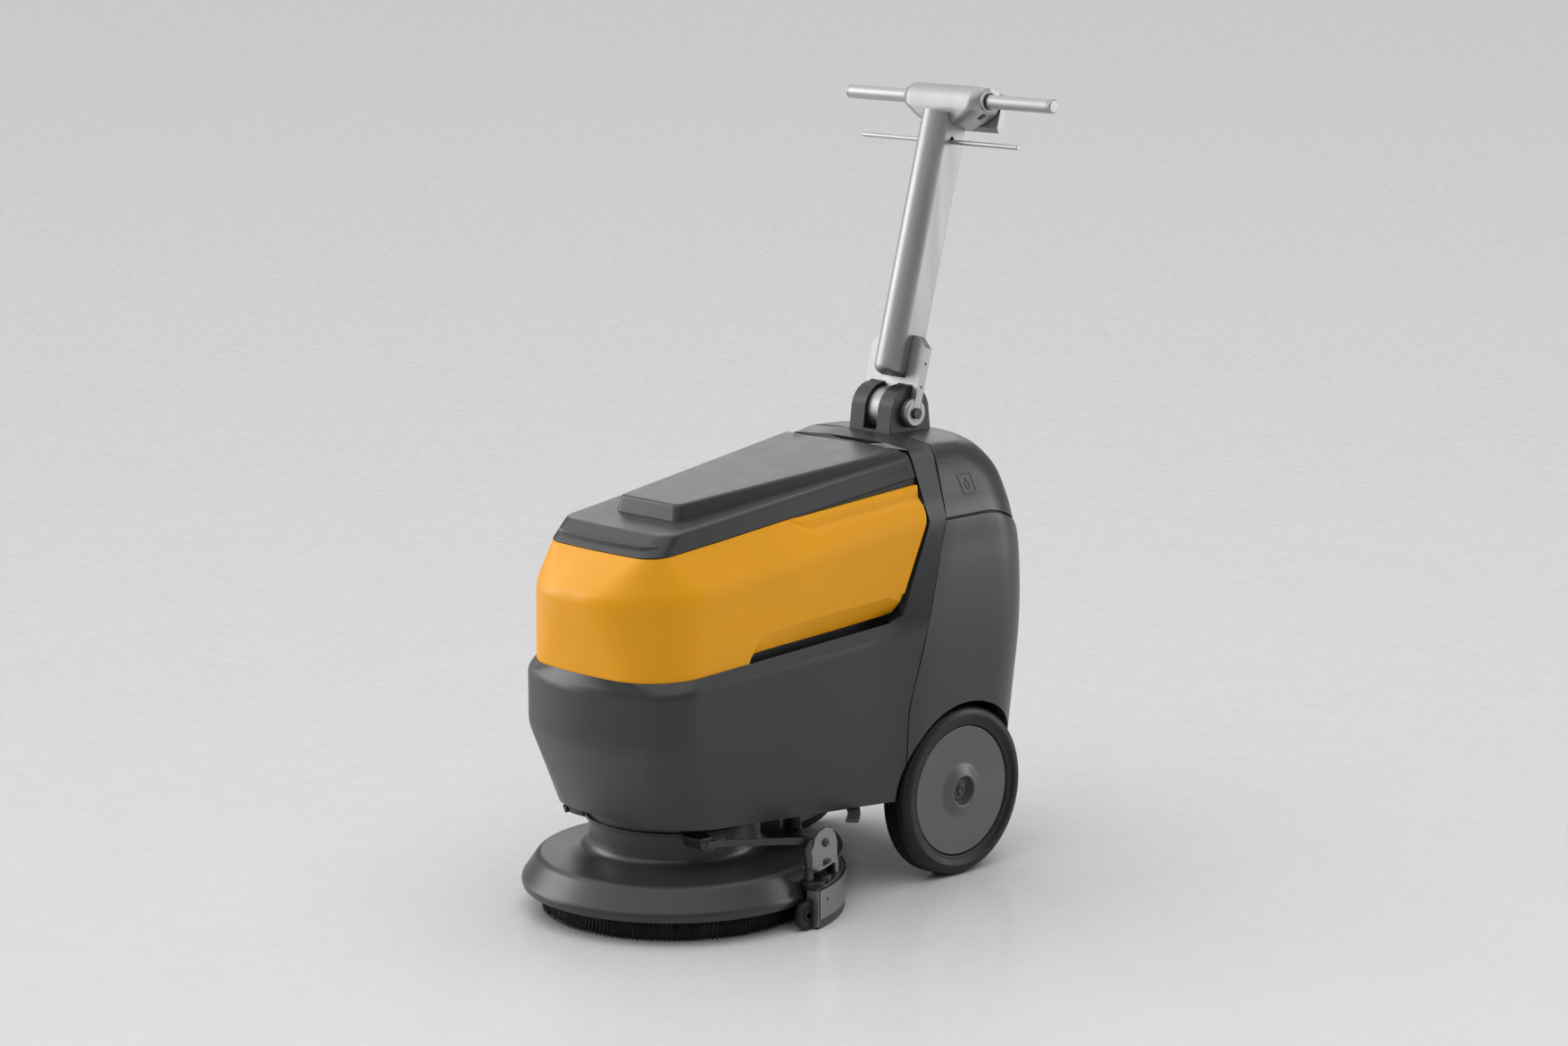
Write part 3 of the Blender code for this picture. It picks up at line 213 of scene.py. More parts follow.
def bevelled(obj, width, segments=3, degrees=30, sharp=40):
    """Rounds the edges that turn by more than degrees, then settles the piece."""
    bevel = obj.modifiers.new("bevel", "BEVEL")
    bevel.width = width
    bevel.segments = segments
    bevel.limit_method = "ANGLE"
    bevel.angle_limit = radians(degrees)
    bevel.use_clamp_overlap = True
    return settle(obj, sharp)


def weld(bm, distance=WELD):
    bmesh.ops.remove_doubles(bm, verts=bm.verts, dist=distance)


def moved(bm, turn):
    if turn:
        bmesh.ops.transform(bm, matrix=turn, verts=bm.verts)
    return bm


def face_through(bm, points):
    bm.faces.new([bm.verts.new(p) for p in points])


def loft(rows, closed=True, caps=False):
    """A surface through rows of points with equal counts."""
    bm = bmesh.new()
    made = [[bm.verts.new(p) for p in row] for row in rows]
    count = len(made[0])
    for low, high in zip(made, made[1:]):
        for i in range(count if closed else count - 1):
            j = (i + 1) % count
            bm.faces.new((low[i], low[j], high[j], high[i]))
    if caps:
        bmesh.ops.triangulate(bm, faces=[bm.faces.new(made[0]), bm.faces.new(made[-1])])
    return bm


def closed_loft(rows):
    """A loft with one flat face at each end."""
    bm = loft(rows)
    face_through(bm, rows[-1])
    face_through(bm, rows[0])
    weld(bm)
    return bm


def filleted(rings, widths, steps=5):
    """Rounds the corners of the profile at every station; widths has one value for each ring."""
    stations = []
    for points in zip(*rings):
        line = [points[0]]
        for before, here, after, width in zip(points, points[1:], points[2:], widths[1:]):
            back = before - here
            ahead = after - here
            start = here + back.normalized() * min(width, 0.45 * back.length)
            end = here + ahead.normalized() * min(width, 0.45 * ahead.length)
            for i in range(steps + 1):
                t = i / steps
                line.append(start * (1 - t) ** 2 + here * (2 * t * (1 - t)) + end * t ** 2)
        line.append(points[-1])
        stations.append(line)
    return [list(row) for row in zip(*stations)]


def rounded(profile, width, steps=4):
    """A 2D outline of (radius, height) with its inner corners rounded."""
    rings = [[Vector((r, 0, z))] for r, z in profile]
    rows = filleted(rings, [width] * len(profile), steps)
    return [(row[0].x, row[0].z) for row in rows]


def stud(radius, inset_by, high, drop_by, low, width, steps=3):
    """Profile of a round head with a chamfered top."""
    return rounded([(0, high), (radius - inset_by, high), (radius, high - drop_by), (radius, low),
                    (0, low)], width, steps)


def turned(profile, steps=128, turn=None, closed=True):
    """A turned shape about Z from a profile of (radius, height), then moved by a matrix."""
    bm = bmesh.new()
    made = []
    for i in range(steps):
        angle = 2 * pi * i / steps
        made.append([bm.verts.new((r * cos(angle), r * sin(angle), z)) for r, z in profile])
    count = len(profile)
    for a, b in zip(made, made[1:] + made[:1]):
        for k in range(count if closed else count - 1):
            m = (k + 1) % count
            bm.faces.new((a[k], a[m], b[m], b[k]))
    weld(bm, 0.000002)
    bmesh.ops.dissolve_degenerate(bm, edges=bm.edges, dist=0.000001)
    return moved(bm, turn)


def lathe(name, profile, finish, body, *nodes, steps=128, turn=None, closed=True, sharp=35):
    return settle(add_piece(name, turned(profile, steps, turn, closed), finish, body, *nodes), sharp)


def spoke(angle):
    """The level unit vector at an angle from +X."""
    return Vector((cos(angle), sin(angle), 0))


def along_x(side, place):
    """Turns a lathe's Z axis to +X or -X and moves its origin to place."""
    return Matrix.Translation(place) @ Matrix.Rotation(side * pi / 2, 4, "Y")


def cut(obj, bm, name):
    """Subtracts a closed mesh from obj."""
    bmesh.ops.triangulate(bm, faces=bm.faces)
    tool = new_object(name, to_mesh(name, bm))
    change = obj.modifiers.new(name, "BOOLEAN")
    change.operation = "DIFFERENCE"
    change.solver = "EXACT"
    change.object = tool
    return tool


def drop(*tools):
    for tool in tools:
        bpy.data.objects.remove(tool, do_unlink=True)


def cylinder(radius, low, high, turn=None, sides=96):
    bm = bmesh.new()
    bmesh.ops.create_cone(bm, cap_ends=True, segments=sides, radius1=radius, radius2=radius,
                          depth=high - low)
    bmesh.ops.translate(bm, vec=(0, 0, (low + high) / 2), verts=bm.verts)
    return moved(bm, turn)


def box_bm(low, high, turn=None):
    bm = bmesh.new()
    bmesh.ops.create_cube(bm, size=1.0)
    bmesh.ops.scale(bm, vec=[b - a for a, b in zip(low, high)], verts=bm.verts)
    bmesh.ops.translate(bm, vec=[(a + b) / 2 for a, b in zip(low, high)], verts=bm.verts)
    return moved(bm, turn)


def refined(node, finish, width=0.0008, segments=3, degrees=28):
    """The CAD node's own shape with its edges broken."""
    bm = bmesh.new()
    bm.from_mesh(frame["nodes"][node].data)
    weld(bm, 0.00002)
    bmesh.ops.dissolve_limit(bm, angle_limit=radians(1.5), verts=bm.verts, edges=bm.edges)
    return bevelled(add_piece(node + "_skin", bm, finish, BODY_OF[node], node), width, segments, degrees)


def wire(name, points, radius, finish, body, cyclic=False):
    """A thin round line through points, or round a loop of them."""
    curve = bpy.data.curves.new(name, "CURVE")
    curve.dimensions = "3D"
    curve.bevel_depth = radius
    curve.bevel_resolution = 2
    curve.use_fill_caps = True
    spline = curve.splines.new("POLY")
    spline.points.add(len(points) - 1)
    spline.use_cyclic_u = cyclic
    for spot, point in zip(spline.points, points):
        spot.co = (*point, 1.0)
    curve.materials.append(finish)
    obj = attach(new_object(name, curve), body)
    return obj


# ---- plan outlines of the body -----------------------------------
def climb(low, slope):
    """Height of a crease: level across the front, then climbing to the rear."""
    soft = 0.02
    return lambda y: low + slope * soft * log1p(exp(min((y - KINK_Y) / soft, 40)))


def nose_points(half_front, half_rear, front, bow, corner, corner_steps=20):
    """Right half of a plan outline, from the front centre to the start of the straight side."""
    corner_point = Vector((half_front, front + bow))
    side = (Vector((half_rear, BODY_SIDE_Y)) - corner_point).normalized()
    inward = Vector((-side.y, side.x))

    def rounded_centre(x):
        tangent = Vector((1, 2 * bow * x / half_front ** 2)).normalized()
        return Vector((x, front + bow * (x / half_front) ** 2)) + corner * Vector((-tangent.y, tangent.x))

    low, high = 0.0, half_front
    for _ in range(40):
        middle = (low + high) / 2
        if (rounded_centre(middle) - corner_point).dot(inward) > corner:
            low = middle
        else:
            high = middle
    centre = rounded_centre(low)
    start = Vector((low, front + bow * (low / half_front) ** 2)) - centre
    finish = -corner * inward
    angle_a = atan2(start.y, start.x)
    angle_b = atan2(finish.y, finish.x)
    points = [Vector((low * i / 6, front + bow * (low * i / 6 / half_front) ** 2)) for i in range(6)]
    for i in range(corner_steps + 1):
        angle = angle_a + (angle_b - angle_a) * i / corner_steps
        points.append(centre + corner * Vector((cos(angle), sin(angle))))
    return points


def nose_ring(shape, height, sides):
    """Right half of a crease: the nose, then points on the side at the given y values."""
    half_rear = shape[1]
    points = nose_points(*shape)
    last = points[-1]
    slope = (half_rear - last.x) / (BODY_SIDE_Y - last.y)
    for y in sides:
        points.append(Vector((last.x + slope * (y - last.y), y)))
    return [Vector((p.x, p.y, height(p.y))) for p in points]


def stern_ring(half_width, front, rear, height, corner=REAR_CORNER, side_steps=8, corner_steps=18):
    """Right half of an outline at the back, from the joint with the hull to the rear centre."""
    points = [Vector((half_width, front + (rear - corner - front) * i / side_steps))
              for i in range(side_steps)]
    for i in range(corner_steps + 1):
        angle = pi / 2 * i / corner_steps
        points.append(Vector((half_width - corner + corner * cos(angle),
                              rear - corner + corner * sin(angle))))
    points.append(Vector(((half_width - corner) / 2, rear)))
    points.append(Vector((0, rear)))
    return [Vector((p.x, p.y, height)) for p in points]


def split_y(z):
    return SPLIT_Y + SPLIT_LEAN * max(z - SPLIT_Z, 0.0)


def mirrored(points):
    """A closed loop from its right half, whose first and last points lie on X = 0."""
    return points + [Vector((-p.x, p.y, p.z)) for p in reversed(points[1:-1])]


def inset(shape, amount):
    half_front, half_rear, front, bow, corner = shape
    return (half_front - amount, half_rear - amount, front + amount, bow, max(corner - amount, 0.01))


def smooth_step(value):
    t = min(max(value, 0.0), 1.0)
    return t * t * (3 - 2 * t)


# creases of the body: half width in front and at the rear, y of the nose, its bow, and its corner's radius
BOTTOM = (0.127, 0.166, -0.122, 0.019, 0.082)
WAIST = (0.138, 0.172, -0.165, 0.038, 0.066)
RIM = (0.1264, 0.157, -0.1572, 0.0141, 0.0814)
TANK_CREASE = (0.126, 0.1627, -0.1695, 0.0129, 0.1163)
LID_EDGE = (0.0974, 0.1339, -0.1278, 0.0056, 0.0319)
LID_CREASE = (0.0956, 0.12, -0.1009, 0.0022, 0.0248)
# heights of the creases, in the same order
bottom_z = lambda y: 0.1276 - 0.05 * y
waist_z = lambda y: SPLIT_Z
shoulder_z = lambda y: 0.313 + 0.07 * y
rim_z = climb(0.3178, 0.076)
tank_crease_z = climb(0.414, 0.136)
lid_edge_z = climb(0.463, 0.132)
lid_crease_z = climb(0.486, 0.131)


# ---- body shells -------------------------------------------------
def pillar_outer():
    heights = (0.343, 0.362, 0.4, 0.44, 0.4665)
    points = [Vector((0.1705 - 0.07 * (z - 0.343), split_y(z), z)) for z in heights]
    points += [Vector((x, split_y(z), z)) for x, z in ((0.147, 0.4915), (0.132, 0.5165), (0.119, 0.538))]
    points += [Vector((0.104, 0.343, 0.549)), Vector((0.055, 0.343, 0.553)), Vector((0, 0.343, 0.554))]
    return points


def pillar_inner():
    return [Vector(p) for p in (
        (0.1565, 0.242, 0.352), (0.157, 0.25, 0.368), (0.158, 0.262, 0.4), (0.16, 0.277, 0.44),
        (0.1605, 0.2865, 0.4645), (0.147, 0.2885, 0.4905), (0.131, 0.2935, 0.5155),
        (0.1175, 0.297, 0.539), (0.1, 0.309, 0.5445), (0.052, 0.318, 0.547), (0, 0.32, 0.547))]


def mark(bm, weights, row, amount):
    """Gives the edges along a row of vertices a bevel weight."""
    for a, b in zip(row, row[1:]):
        edge = bm.edges.get((a, b))
        if edge:
            edge[weights] = amount


def wheel_arch():
    return cylinder(ARCH_RADIUS, -0.3, 0.3, along_x(1, (0, WHEEL_Y, WHEEL_Z)))


def make_hull():
    """The grey lower body: sides, pillar beside the tank, and the well the tank stands in."""
    sides = (-0.02, 0.02, 0.06, 0.1, 0.14, 0.18, 0.225)
    rings = [nose_ring(BOTTOM, bottom_z, sides), nose_ring(WAIST, waist_z, sides),
             nose_ring(WAIST, shoulder_z, sides)]
    rear = [Vector((0.1605, SPLIT_Y, bottom_z(SPLIT_Y))), Vector((0.1675, SPLIT_Y, SPLIT_Z)),
            Vector((0.1705, split_y(0.336), 0.336))]
    outer = pillar_outer()
    inner = pillar_inner()
    rim = nose_ring(RIM, rim_z, sides)
    bm = bmesh.new()
    weights = bm.edges.layers.float.new("bevel_weight_edge")

    def row(points):
        return [bm.verts.new(p) for p in points]

    rows = [row(ring + [end]) for ring, end in zip(rings, rear)]
    strip_outer = rows[2][:-1] + row(outer)
    strip_inner = row(rim + inner)
    for low, high in zip(rows, rows[1:]):
        for i in range(len(low) - 1):
            bm.faces.new((low[i], low[i + 1], high[i + 1], high[i]))
    turn_start = len(rings[2]) - 1
    bm.faces.new((rows[2][turn_start], rows[2][-1], strip_outer[turn_start + 1]))
    for i in range(len(strip_outer) - 1):
        bm.faces.new((strip_outer[i], strip_outer[i + 1], strip_inner[i + 1], strip_inner[i]))
    wall = strip_inner[len(rim) - 1:]
    levels = wall[:-3]
    recess = row([Vector((0.104, min(split_y(v.co.z) - 0.009, 0.3215), v.co.z)) for v in levels])
    wall_centre = row([Vector((0, v.co.y, v.co.z)) for v in recess])
    for i in range(len(levels) - 1):
        bm.faces.new((wall[i], wall[i + 1], recess[i + 1], recess[i]))
        bm.faces.new((recess[i], recess[i + 1], wall_centre[i + 1], wall_centre[i]))
    bm.faces.new((wall[-4], wall[-3], recess[-1]))
    bm.faces.new((wall[-3], wall[-2], wall[-1], wall_centre[-1], recess[-1]))
    centre_row = row([Vector((0, p.co.y, p.co.z)) for p in rows[0][1:]])
    for i in range(1, len(rows[0]) - 1):
        bm.faces.new((rows[0][i + 1], rows[0][i], centre_row[i - 1], centre_row[i]))
    bm.faces.new((rows[0][1], rows[0][0], centre_row[0]))
    mark(bm, weights, rows[1], 1.0)
    mark(bm, weights, rows[2][:-1] + strip_outer[turn_start + 1:turn_start + 2], 0.7)
    hull = add_piece("hull_skin", bm, GREY, "machine", "hull_shell")
    add_mirror(hull)
    bevel = hull.modifiers.new("creases", "BEVEL")
    bevel.width = 0.011
    bevel.segments = 4
    bevel.limit_method = "WEIGHT"
    add_wall(hull, 0.8)
    tools = [cut(hull, cylinder(NECK_RADIUS + 0.0015, 0.05, 0.2), "neck_hole"),
             cut(hull, wheel_arch(), "arch")]
    settle(hull, 32)
    drop(*tools)


def make_tank_well():
    """The dark tray that the tank stands in, seen in the hand recesses and when the tank is lifted."""
    sides, rear_y, sunk, centre_y = (0.02, 0.12, 0.2, 0.225), 0.236, 0.016, 0.06
    ring = [Vector((p.x, p.y, rim_z(p.y) - sunk)) for p in nose_ring(inset(RIM, 0.002), rim_z, sides)]
    ring += [Vector((x, rear_y, rim_z(rear_y) - sunk)) for x in (0.15, 0)]
    loop = mirrored(ring)
    middle = [Vector((p.x * 0.9, centre_y + (p.y - centre_y) * 0.92, p.z)) for p in loop]
    low = [p - Vector((0, 0, 0.012)) for p in middle]
    bm = loft([loop, middle, low])
    face_through(bm, low)
    weld(bm)
    settle(add_piece("tank_well", bm, DARK, "machine"), 30)


def rear_drop(y):
    """How far the joint between the cap and the rear cover sinks towards the back."""
    return 0.034 * smooth_step((y - 0.385) / 0.125)


def make_rear_cover():
    """The grey panel behind the hull, from its front edge to the rear centre."""
    # x at the front edge, half width, y of the rear and height of each level
    levels = ((0.159, 0.163, 0.478, 0.112), (0.165, 0.168, 0.482, 0.175),
              (0.1675, 0.171, 0.487, SPLIT_Z), (0.1706, 0.1715, 0.496, 0.3),
              (0.1703, 0.1705, 0.499, 0.343), (0.1665, 0.1675, 0.5, 0.4),
              (0.1637, 0.1645, 0.498, 0.43), (0.1622, 0.1625, 0.494, 0.465))
    seam_gap = 0.0016
    rings = []
    for front_x, half_width, rear, height in levels:
        ring = stern_ring(half_width, split_y(height) + SHUT_LINE, rear, height)
        ring[0].x = front_x
        if height == levels[-1][-1]:
            for p in ring:
                p.z -= rear_drop(p.y) + seam_gap * (1 - smooth_step((p.y - 0.42) / 0.03))
        rings.append(ring)
    rows = filleted(rings, [0, 0.012, 0.02, 0.02, 0.02, 0.02, 0.01, 0], 3)
    top = rows[-1]
    rows[-1] = [p.lerp(q, 0.35) for p, q in zip(top, rows[-2])]
    rows.append([Vector((p.x - 0.0006, p.y - 0.0002, p.z - 0.0004)) for p in top])
    rows.append([Vector((p.x * 0.975, p.y - 0.004 * smooth_step((p.y - 0.4) / 0.1), p.z - 0.0005))
                 for p in top])
    cover = add_piece("rear_cover_skin", loft(rows, closed=False), GREY, "machine", "rear_cover")
    add_mirror(cover)
    add_wall(cover, 0.8)
    tool = cut(cover, wheel_arch(), "rear_arch")
    settle(cover, 38)
    drop(tool)


def make_top_cap():
    """The grey cap over the rear cover, behind the tank and under the handle."""
    # half width, y of the rear and height of each level
    levels = ((0.1612, 0.4935, 0.4668), (0.1555, 0.4925, 0.479), (0.148, 0.4895, 0.4915),
              (0.141, 0.4855, 0.504), (0.134, 0.48, 0.5165), (0.127, 0.472, 0.528),
              (0.12, 0.462, 0.538), (0.113, 0.452, 0.5445), (0.105, 0.44, 0.549),
              (0.08, 0.424, 0.552), (0.055, 0.405, 0.5535))
    rings = []
    for half_width, rear, height in levels:
        front = max(split_y(height), 0.343 if height > 0.545 else 0) + SHUT_LINE
        corner = min(REAR_CORNER, rear - front - 0.012, half_width - 0.005)
        ring = stern_ring(half_width, front, rear, height, corner)
        if height < 0.50:
            for p in ring:
                p.z -= rear_drop(p.y) * (0.5 - height) / 0.0335
        rings.append(ring)
    foot = [Vector((p.x * 0.975, p.y - 0.003 * smooth_step((p.y - 0.4) / 0.1), p.z)) for p in rings[0]]
    rows = [foot] + filleted(rings, [0] + [0.006] * 9 + [0], 2)
    bm = loft(rows, closed=False)
    face_through(bm, rows[-1] + [(0, rows[-1][0].y, rows[-1][0].z)])
    weld(bm)
    cap = add_piece("rear_top_cap_skin", bm, GREY, "machine", "rear_top_cap")
    add_mirror(cap)
    add_wall(cap, 0.6)
    return settle(cap, 38)


def make_seam_lining():
    """A dark ledge inside the joint between the rear cover and the cap."""
    rings = []
    for height, back in ((0.44, 0.006), (0.466, 0.0052), (0.4685, 0.0075), (0.44, 0.011)):
        ring = stern_ring(0.162 - back, split_y(height) + 0.004, 0.4935 - back, height, REAR_CORNER - back)
        rings.append([Vector((p.x, p.y, p.z - rear_drop(p.y))) for p in ring])
    bm = loft(rings + rings[:1], closed=False)
    weld(bm)
    ledge = add_piece("seam_ledge", bm, DARK, "machine")
    add_mirror(ledge)
    settle(ledge, 30)


def make_icon(cap):
    """A plain engraved sign on both sides of the cap: a square with a drop in it."""
    evaluated = cap.evaluated_get(bpy.context.evaluated_depsgraph_get())
    tree = BVHTree.FromObject(evaluated, bpy.context.evaluated_depsgraph_get())
    centre_y, centre_z, half = 0.371, 0.5, 0.0115
    square = [(-half, -half), (half, -half), (half, half), (-half, half)]
    drop_line = [(0.0045 * sin(a) * sin(a / 2) ** 1.2, 0.0065 * cos(a))
                 for a in (2 * pi * i / 20 for i in range(20))]
    for name, side in SIDES:
        for label, outline in (("square", square), ("drop", drop_line)):
            spots = []
            loop = outline + outline[:1]
            for (y0, z0), (y1, z1) in zip(loop, loop[1:]):
                for i in range(4):
                    y = centre_y + y0 + (y1 - y0) * i / 4
                    z = centre_z + z0 + (z1 - z0) * i / 4
                    spots.append(tree.ray_cast(Vector((side * 0.4, y, z)), Vector((-side, 0, 0)))[0])
            wire("sign_%s_%s" % (label, name), spots, 0.0006, DARK, "machine", cyclic=True)


# ---- recovery tank and lid ---------------------------------------
def tank_ring(shape, height, sides, rear_x, rear_y):
    half = nose_ring(shape, height, sides)
    half += [Vector((rear_x, rear_y, height(rear_y))), Vector((0, rear_y, height(rear_y)))]
    return half


def grip_cutter(side, sections):
    rings = [[Vector((side * x, y, z)) for x, z in corners] for y, corners in sections]
    return loft(rings, caps=True)


LOW_GRIP_DEPTH = 0.0095      # how far the hand reaches in behind the tank's lower edge
# rows of y, then x and z inside the recess and at its top edge
LOW_GRIP = ((0.000, 0.1335, 0.326, 0.1347, 0.33), (0.006, 0.131, 0.333, 0.1353, 0.34),
            (0.012, 0.1295, 0.336, 0.1359, 0.348), (0.02, 0.1297, 0.3372, 0.1366, 0.356),
            (0.03, 0.13, 0.338, 0.1372, 0.3605), (0.06, 0.1308, 0.3398, 0.1392, 0.3635),
            (0.14, 0.133, 0.3445, 0.1444, 0.3705), (0.225, 0.135, 0.3505, 0.15, 0.3765),
            (0.262, 0.149, 0.36, 0.1523, 0.38))


def low_grip(side):
    """Hand recess along the tank's lower edge."""
    floor, deep = 0.3, LOW_GRIP_DEPTH
    return grip_cutter(side, [(y, ((ix - deep, floor), (FAR, floor), (FAR, tz), (tx, tz), (ix, iz),
                                   (ix - deep, iz + 0.001))) for y, ix, iz, tx, tz in LOW_GRIP])


HIGH_GRIP_REACH = 2.0        # the open slot's depth, as a multiple of the recess's
# rows of y, x and z of the recess's lower edge, its top, its depth and the height of its open slot
HIGH_GRIP = (
    (0.084, 0.1135, 0.4885, 0.5, 0.0015, 0.001), (0.092, 0.119, 0.481, 0.504, 0.0035, 0.0014),
    (0.1, 0.1235, 0.4745, 0.508, 0.0055, 0.0018), (0.108, 0.1272, 0.469, 0.512, 0.0075, 0.0022),
    (0.118, 0.1305, 0.4658, 0.515, 0.009, 0.0026), (0.2885, 0.1478, 0.4858, 0.5356, 0.0095, 0.0081),
    (0.3, 0.149, 0.4872, 0.537, 0.0095, 0.0085))


def high_grip(side):
    """Finger recess under the lid, with a slot left open between it and the lid's edge."""
    sections = []
    for y, x, z, top, depth, slot in HIGH_GRIP:
        lip = lid_edge_z(y) - slot
        back = x - depth * HIGH_GRIP_REACH
        sections.append((y, ((x, z), (FAR, z), (FAR, top), (back, top), (back, lip),
                             (x - depth * 1.25, lip), (x - depth * 0.9, z + (lip - z) * 0.35))))
    return grip_cutter(side, sections)


def grip_painted_shade(name, rows):
    """A dark strip of painted shade against a recess's back wall, on both sides, standing in for the shadow there;
    rows hold y, x of its back, low z, high z.
    """
    for end, side in SIDES:
        sections = []
        for y, x, low, high in rows:
            back, front = side * (x + 0.0002), side * (x + 0.0012)
            sections.append([Vector((back, y, low)), Vector((front, y, low)), Vector((front, y, high)),
                             Vector((back, y, high))])
        settle(add_piece("%s_%s" % (name, end), loft(sections, caps=True), DARK, "tank"), 30)


def make_tank():
    low_sides = (-0.02, 0.02, 0.06, 0.12, 0.19, 0.225)
    high_sides = (-0.02, 0.02, 0.06, 0.14, 0.22, 0.26)
    lip_z = lambda y: lid_edge_z(y) - 0.0008
    rim_inset = inset(RIM, 0.001)
    rings = [tank_ring(rim_inset, lambda y: rim_z(y) - 0.012, low_sides, 0.15, 0.2315),
             tank_ring(rim_inset, rim_z, low_sides, 0.1515, 0.2345),
             tank_ring(TANK_CREASE, tank_crease_z, high_sides, 0.159, 0.2835),
             tank_ring(inset(LID_EDGE, 0.0005), lip_z, high_sides, 0.131, 0.2895)]
    rows = filleted([mirrored(ring) for ring in rings], [0, 0.002, 0.011, 0], 5)
    inner = [tank_ring(inset(LID_EDGE, 0.016), lip_z, high_sides, 0.112, 0.28),
             tank_ring(inset(TANK_CREASE, 0.02), tank_crease_z, high_sides, 0.138, 0.274),
             tank_ring(inset(RIM, 0.02), lambda y: rim_z(y) - 0.006, low_sides, 0.134, 0.229)]
    shape = loft(rows + [mirrored(ring) for ring in inner], caps=True)
    tank = add_piece("recovery_tank_skin", shape, ORANGE, "tank", "recovery_tank")
    tools = []
    for side in (1, -1):
        tools.append(cut(tank, low_grip(side), "low_grip"))
        tools.append(cut(tank, high_grip(side), "high_grip"))
    settle(tank, 13)
    drop(*tools)
    # Painted shade: dark strips in the low recess's undercut and in the high recess's slot, standing in for the
    # shadow there.
    grip_painted_shade("grip_painted_shade", [(y, x - LOW_GRIP_DEPTH, rim_z(y) - 0.012, z + 0.0004)
                                for y, x, z, _, _ in LOW_GRIP[1:]])
    grip_painted_shade("slot_painted_shade", [(y, x - depth * HIGH_GRIP_REACH, lid_edge_z(y) - slot + 0.0003,
                                 lid_edge_z(y) - 0.0002) for y, x, _, _, depth, slot in HIGH_GRIP[2:-1]])


def lid_ring(shape, height, sides, rear_x, rear_y, corner_y, centre_y):
    """A loop of the lid, whose rear edge runs back and up from the corner to the centre."""
    half = nose_ring(shape, height, sides)
    rear_z = height(rear_y)
    half += [Vector((rear_x, rear_y, rear_z)), Vector((rear_x - 0.0165, corner_y, rear_z + 0.0035)),
             Vector((0.052, centre_y - 0.003, rear_z + 0.005)), Vector((0, centre_y, rear_z + 0.006))]
    return mirrored(half)


def wedge_ring(half_front, half_rear, front, rear, front_z, rear_z):
    """A loop of the lid's raised block: wider and higher at the rear, with rounded front corners."""
    corner = 0.01
    points = [Vector((0, front)), Vector((half_front - corner, front))]
    points += [Vector((half_front - corner + corner * sin(a), front + corner - corner * cos(a)))
               for a in (pi / 2 * i / 6 for i in range(1, 7))]
    points += [Vector((half_front + (half_rear - half_front) * t,
                       front + corner + (rear - front - corner) * t)) for t in (0.2, 0.4, 0.6, 0.8, 1.0)]
    points.append(Vector((0, rear)))
    slope = (rear_z - front_z) / (rear - front)
    return mirrored([Vector((p.x, p.y, front_z + slope * (p.y - front))) for p in points])


def make_lid():
    sides = (-0.06, -0.03, 0.04, 0.12, 0.2, 0.26)
    base_z = lambda y: lid_edge_z(y) + 0.0004
    edge = lid_ring(LID_EDGE, base_z, sides, 0.1305, 0.2905, 0.2925, 0.296)
    crease = lid_ring(LID_CREASE, lid_crease_z, sides, 0.1165, 0.2945, 0.3062, 0.3172)
    centre_y = 0.1
    top = [Vector((p.x * 0.8, y, lid_crease_z(y)))
           for p, y in ((p, centre_y + (p.y - centre_y) * 0.88) for p in crease)]
    under = [Vector((p.x * 0.95, centre_y + (p.y - centre_y) * 0.97, p.z)) for p in edge]
    raised = [Vector((p.x, p.y, p.z + 0.012)) for p in under]
    rows = filleted([raised, under, edge, crease, top], [0, 0.0005, 0.001, 0.0042, 0], 4)
    settle(add_piece("lid_skin", closed_loft(rows), GREY, "lid", "lid_shell"))
    wedge = [wedge_ring(0.059, 0.108, -0.047, 0.3, 0.486, 0.53),
             wedge_ring(0.0575, 0.106, -0.0455, 0.298, 0.4935, 0.5385),
             wedge_ring(0.053, 0.1, -0.04, 0.292, 0.514, 0.5475),
             wedge_ring(0.04, 0.08, -0.027, 0.28, 0.5153, 0.5465)]
    rows = filleted(wedge, [0, 0.003, 0.004, 0], 5)
    settle(add_piece("lid_raised_top", closed_loft(rows), GREY, "lid"))


def make_lid_details():
    """The fine outlines of two tabs on the lid's raised block, at its rear."""
    for name, side in SIDES:
        spots = [Vector((side * x, y, lid_crease_z(y) + 0.0108)) for x, y in
                 ((0.0655, 0.296), (0.0655, 0.278), (0.0725, 0.278), (0.0725, 0.296))]
        wire("lid_tab_" + name, spots, 0.0003, DARK, "lid")


# ---- deck and brush ----------------------------------------------
def make_deck():
    outer = [(0.106, 0.14), (0.106, 0.092), (0.1072, 0.0845), (0.1105, 0.0802), (0.1165, 0.077),
             (0.1662, 0.07), (0.1712, 0.0668), (0.1888, 0.0412), (0.19, 0.0365), (0.1882, 0.0302)]
    inner = [(0.1855, 0.031), (0.1865, 0.037), (0.169, 0.063), (0.165, 0.0655), (0.114, 0.0725),
             (0.1035, 0.079), (0.1025, 0.088), (0.1025, 0.14)]
    lathe("deck_skin", rounded(outer, 0.0022, 5) + inner, GREY, "machine", "deck_hood", steps=160, sharp=38)


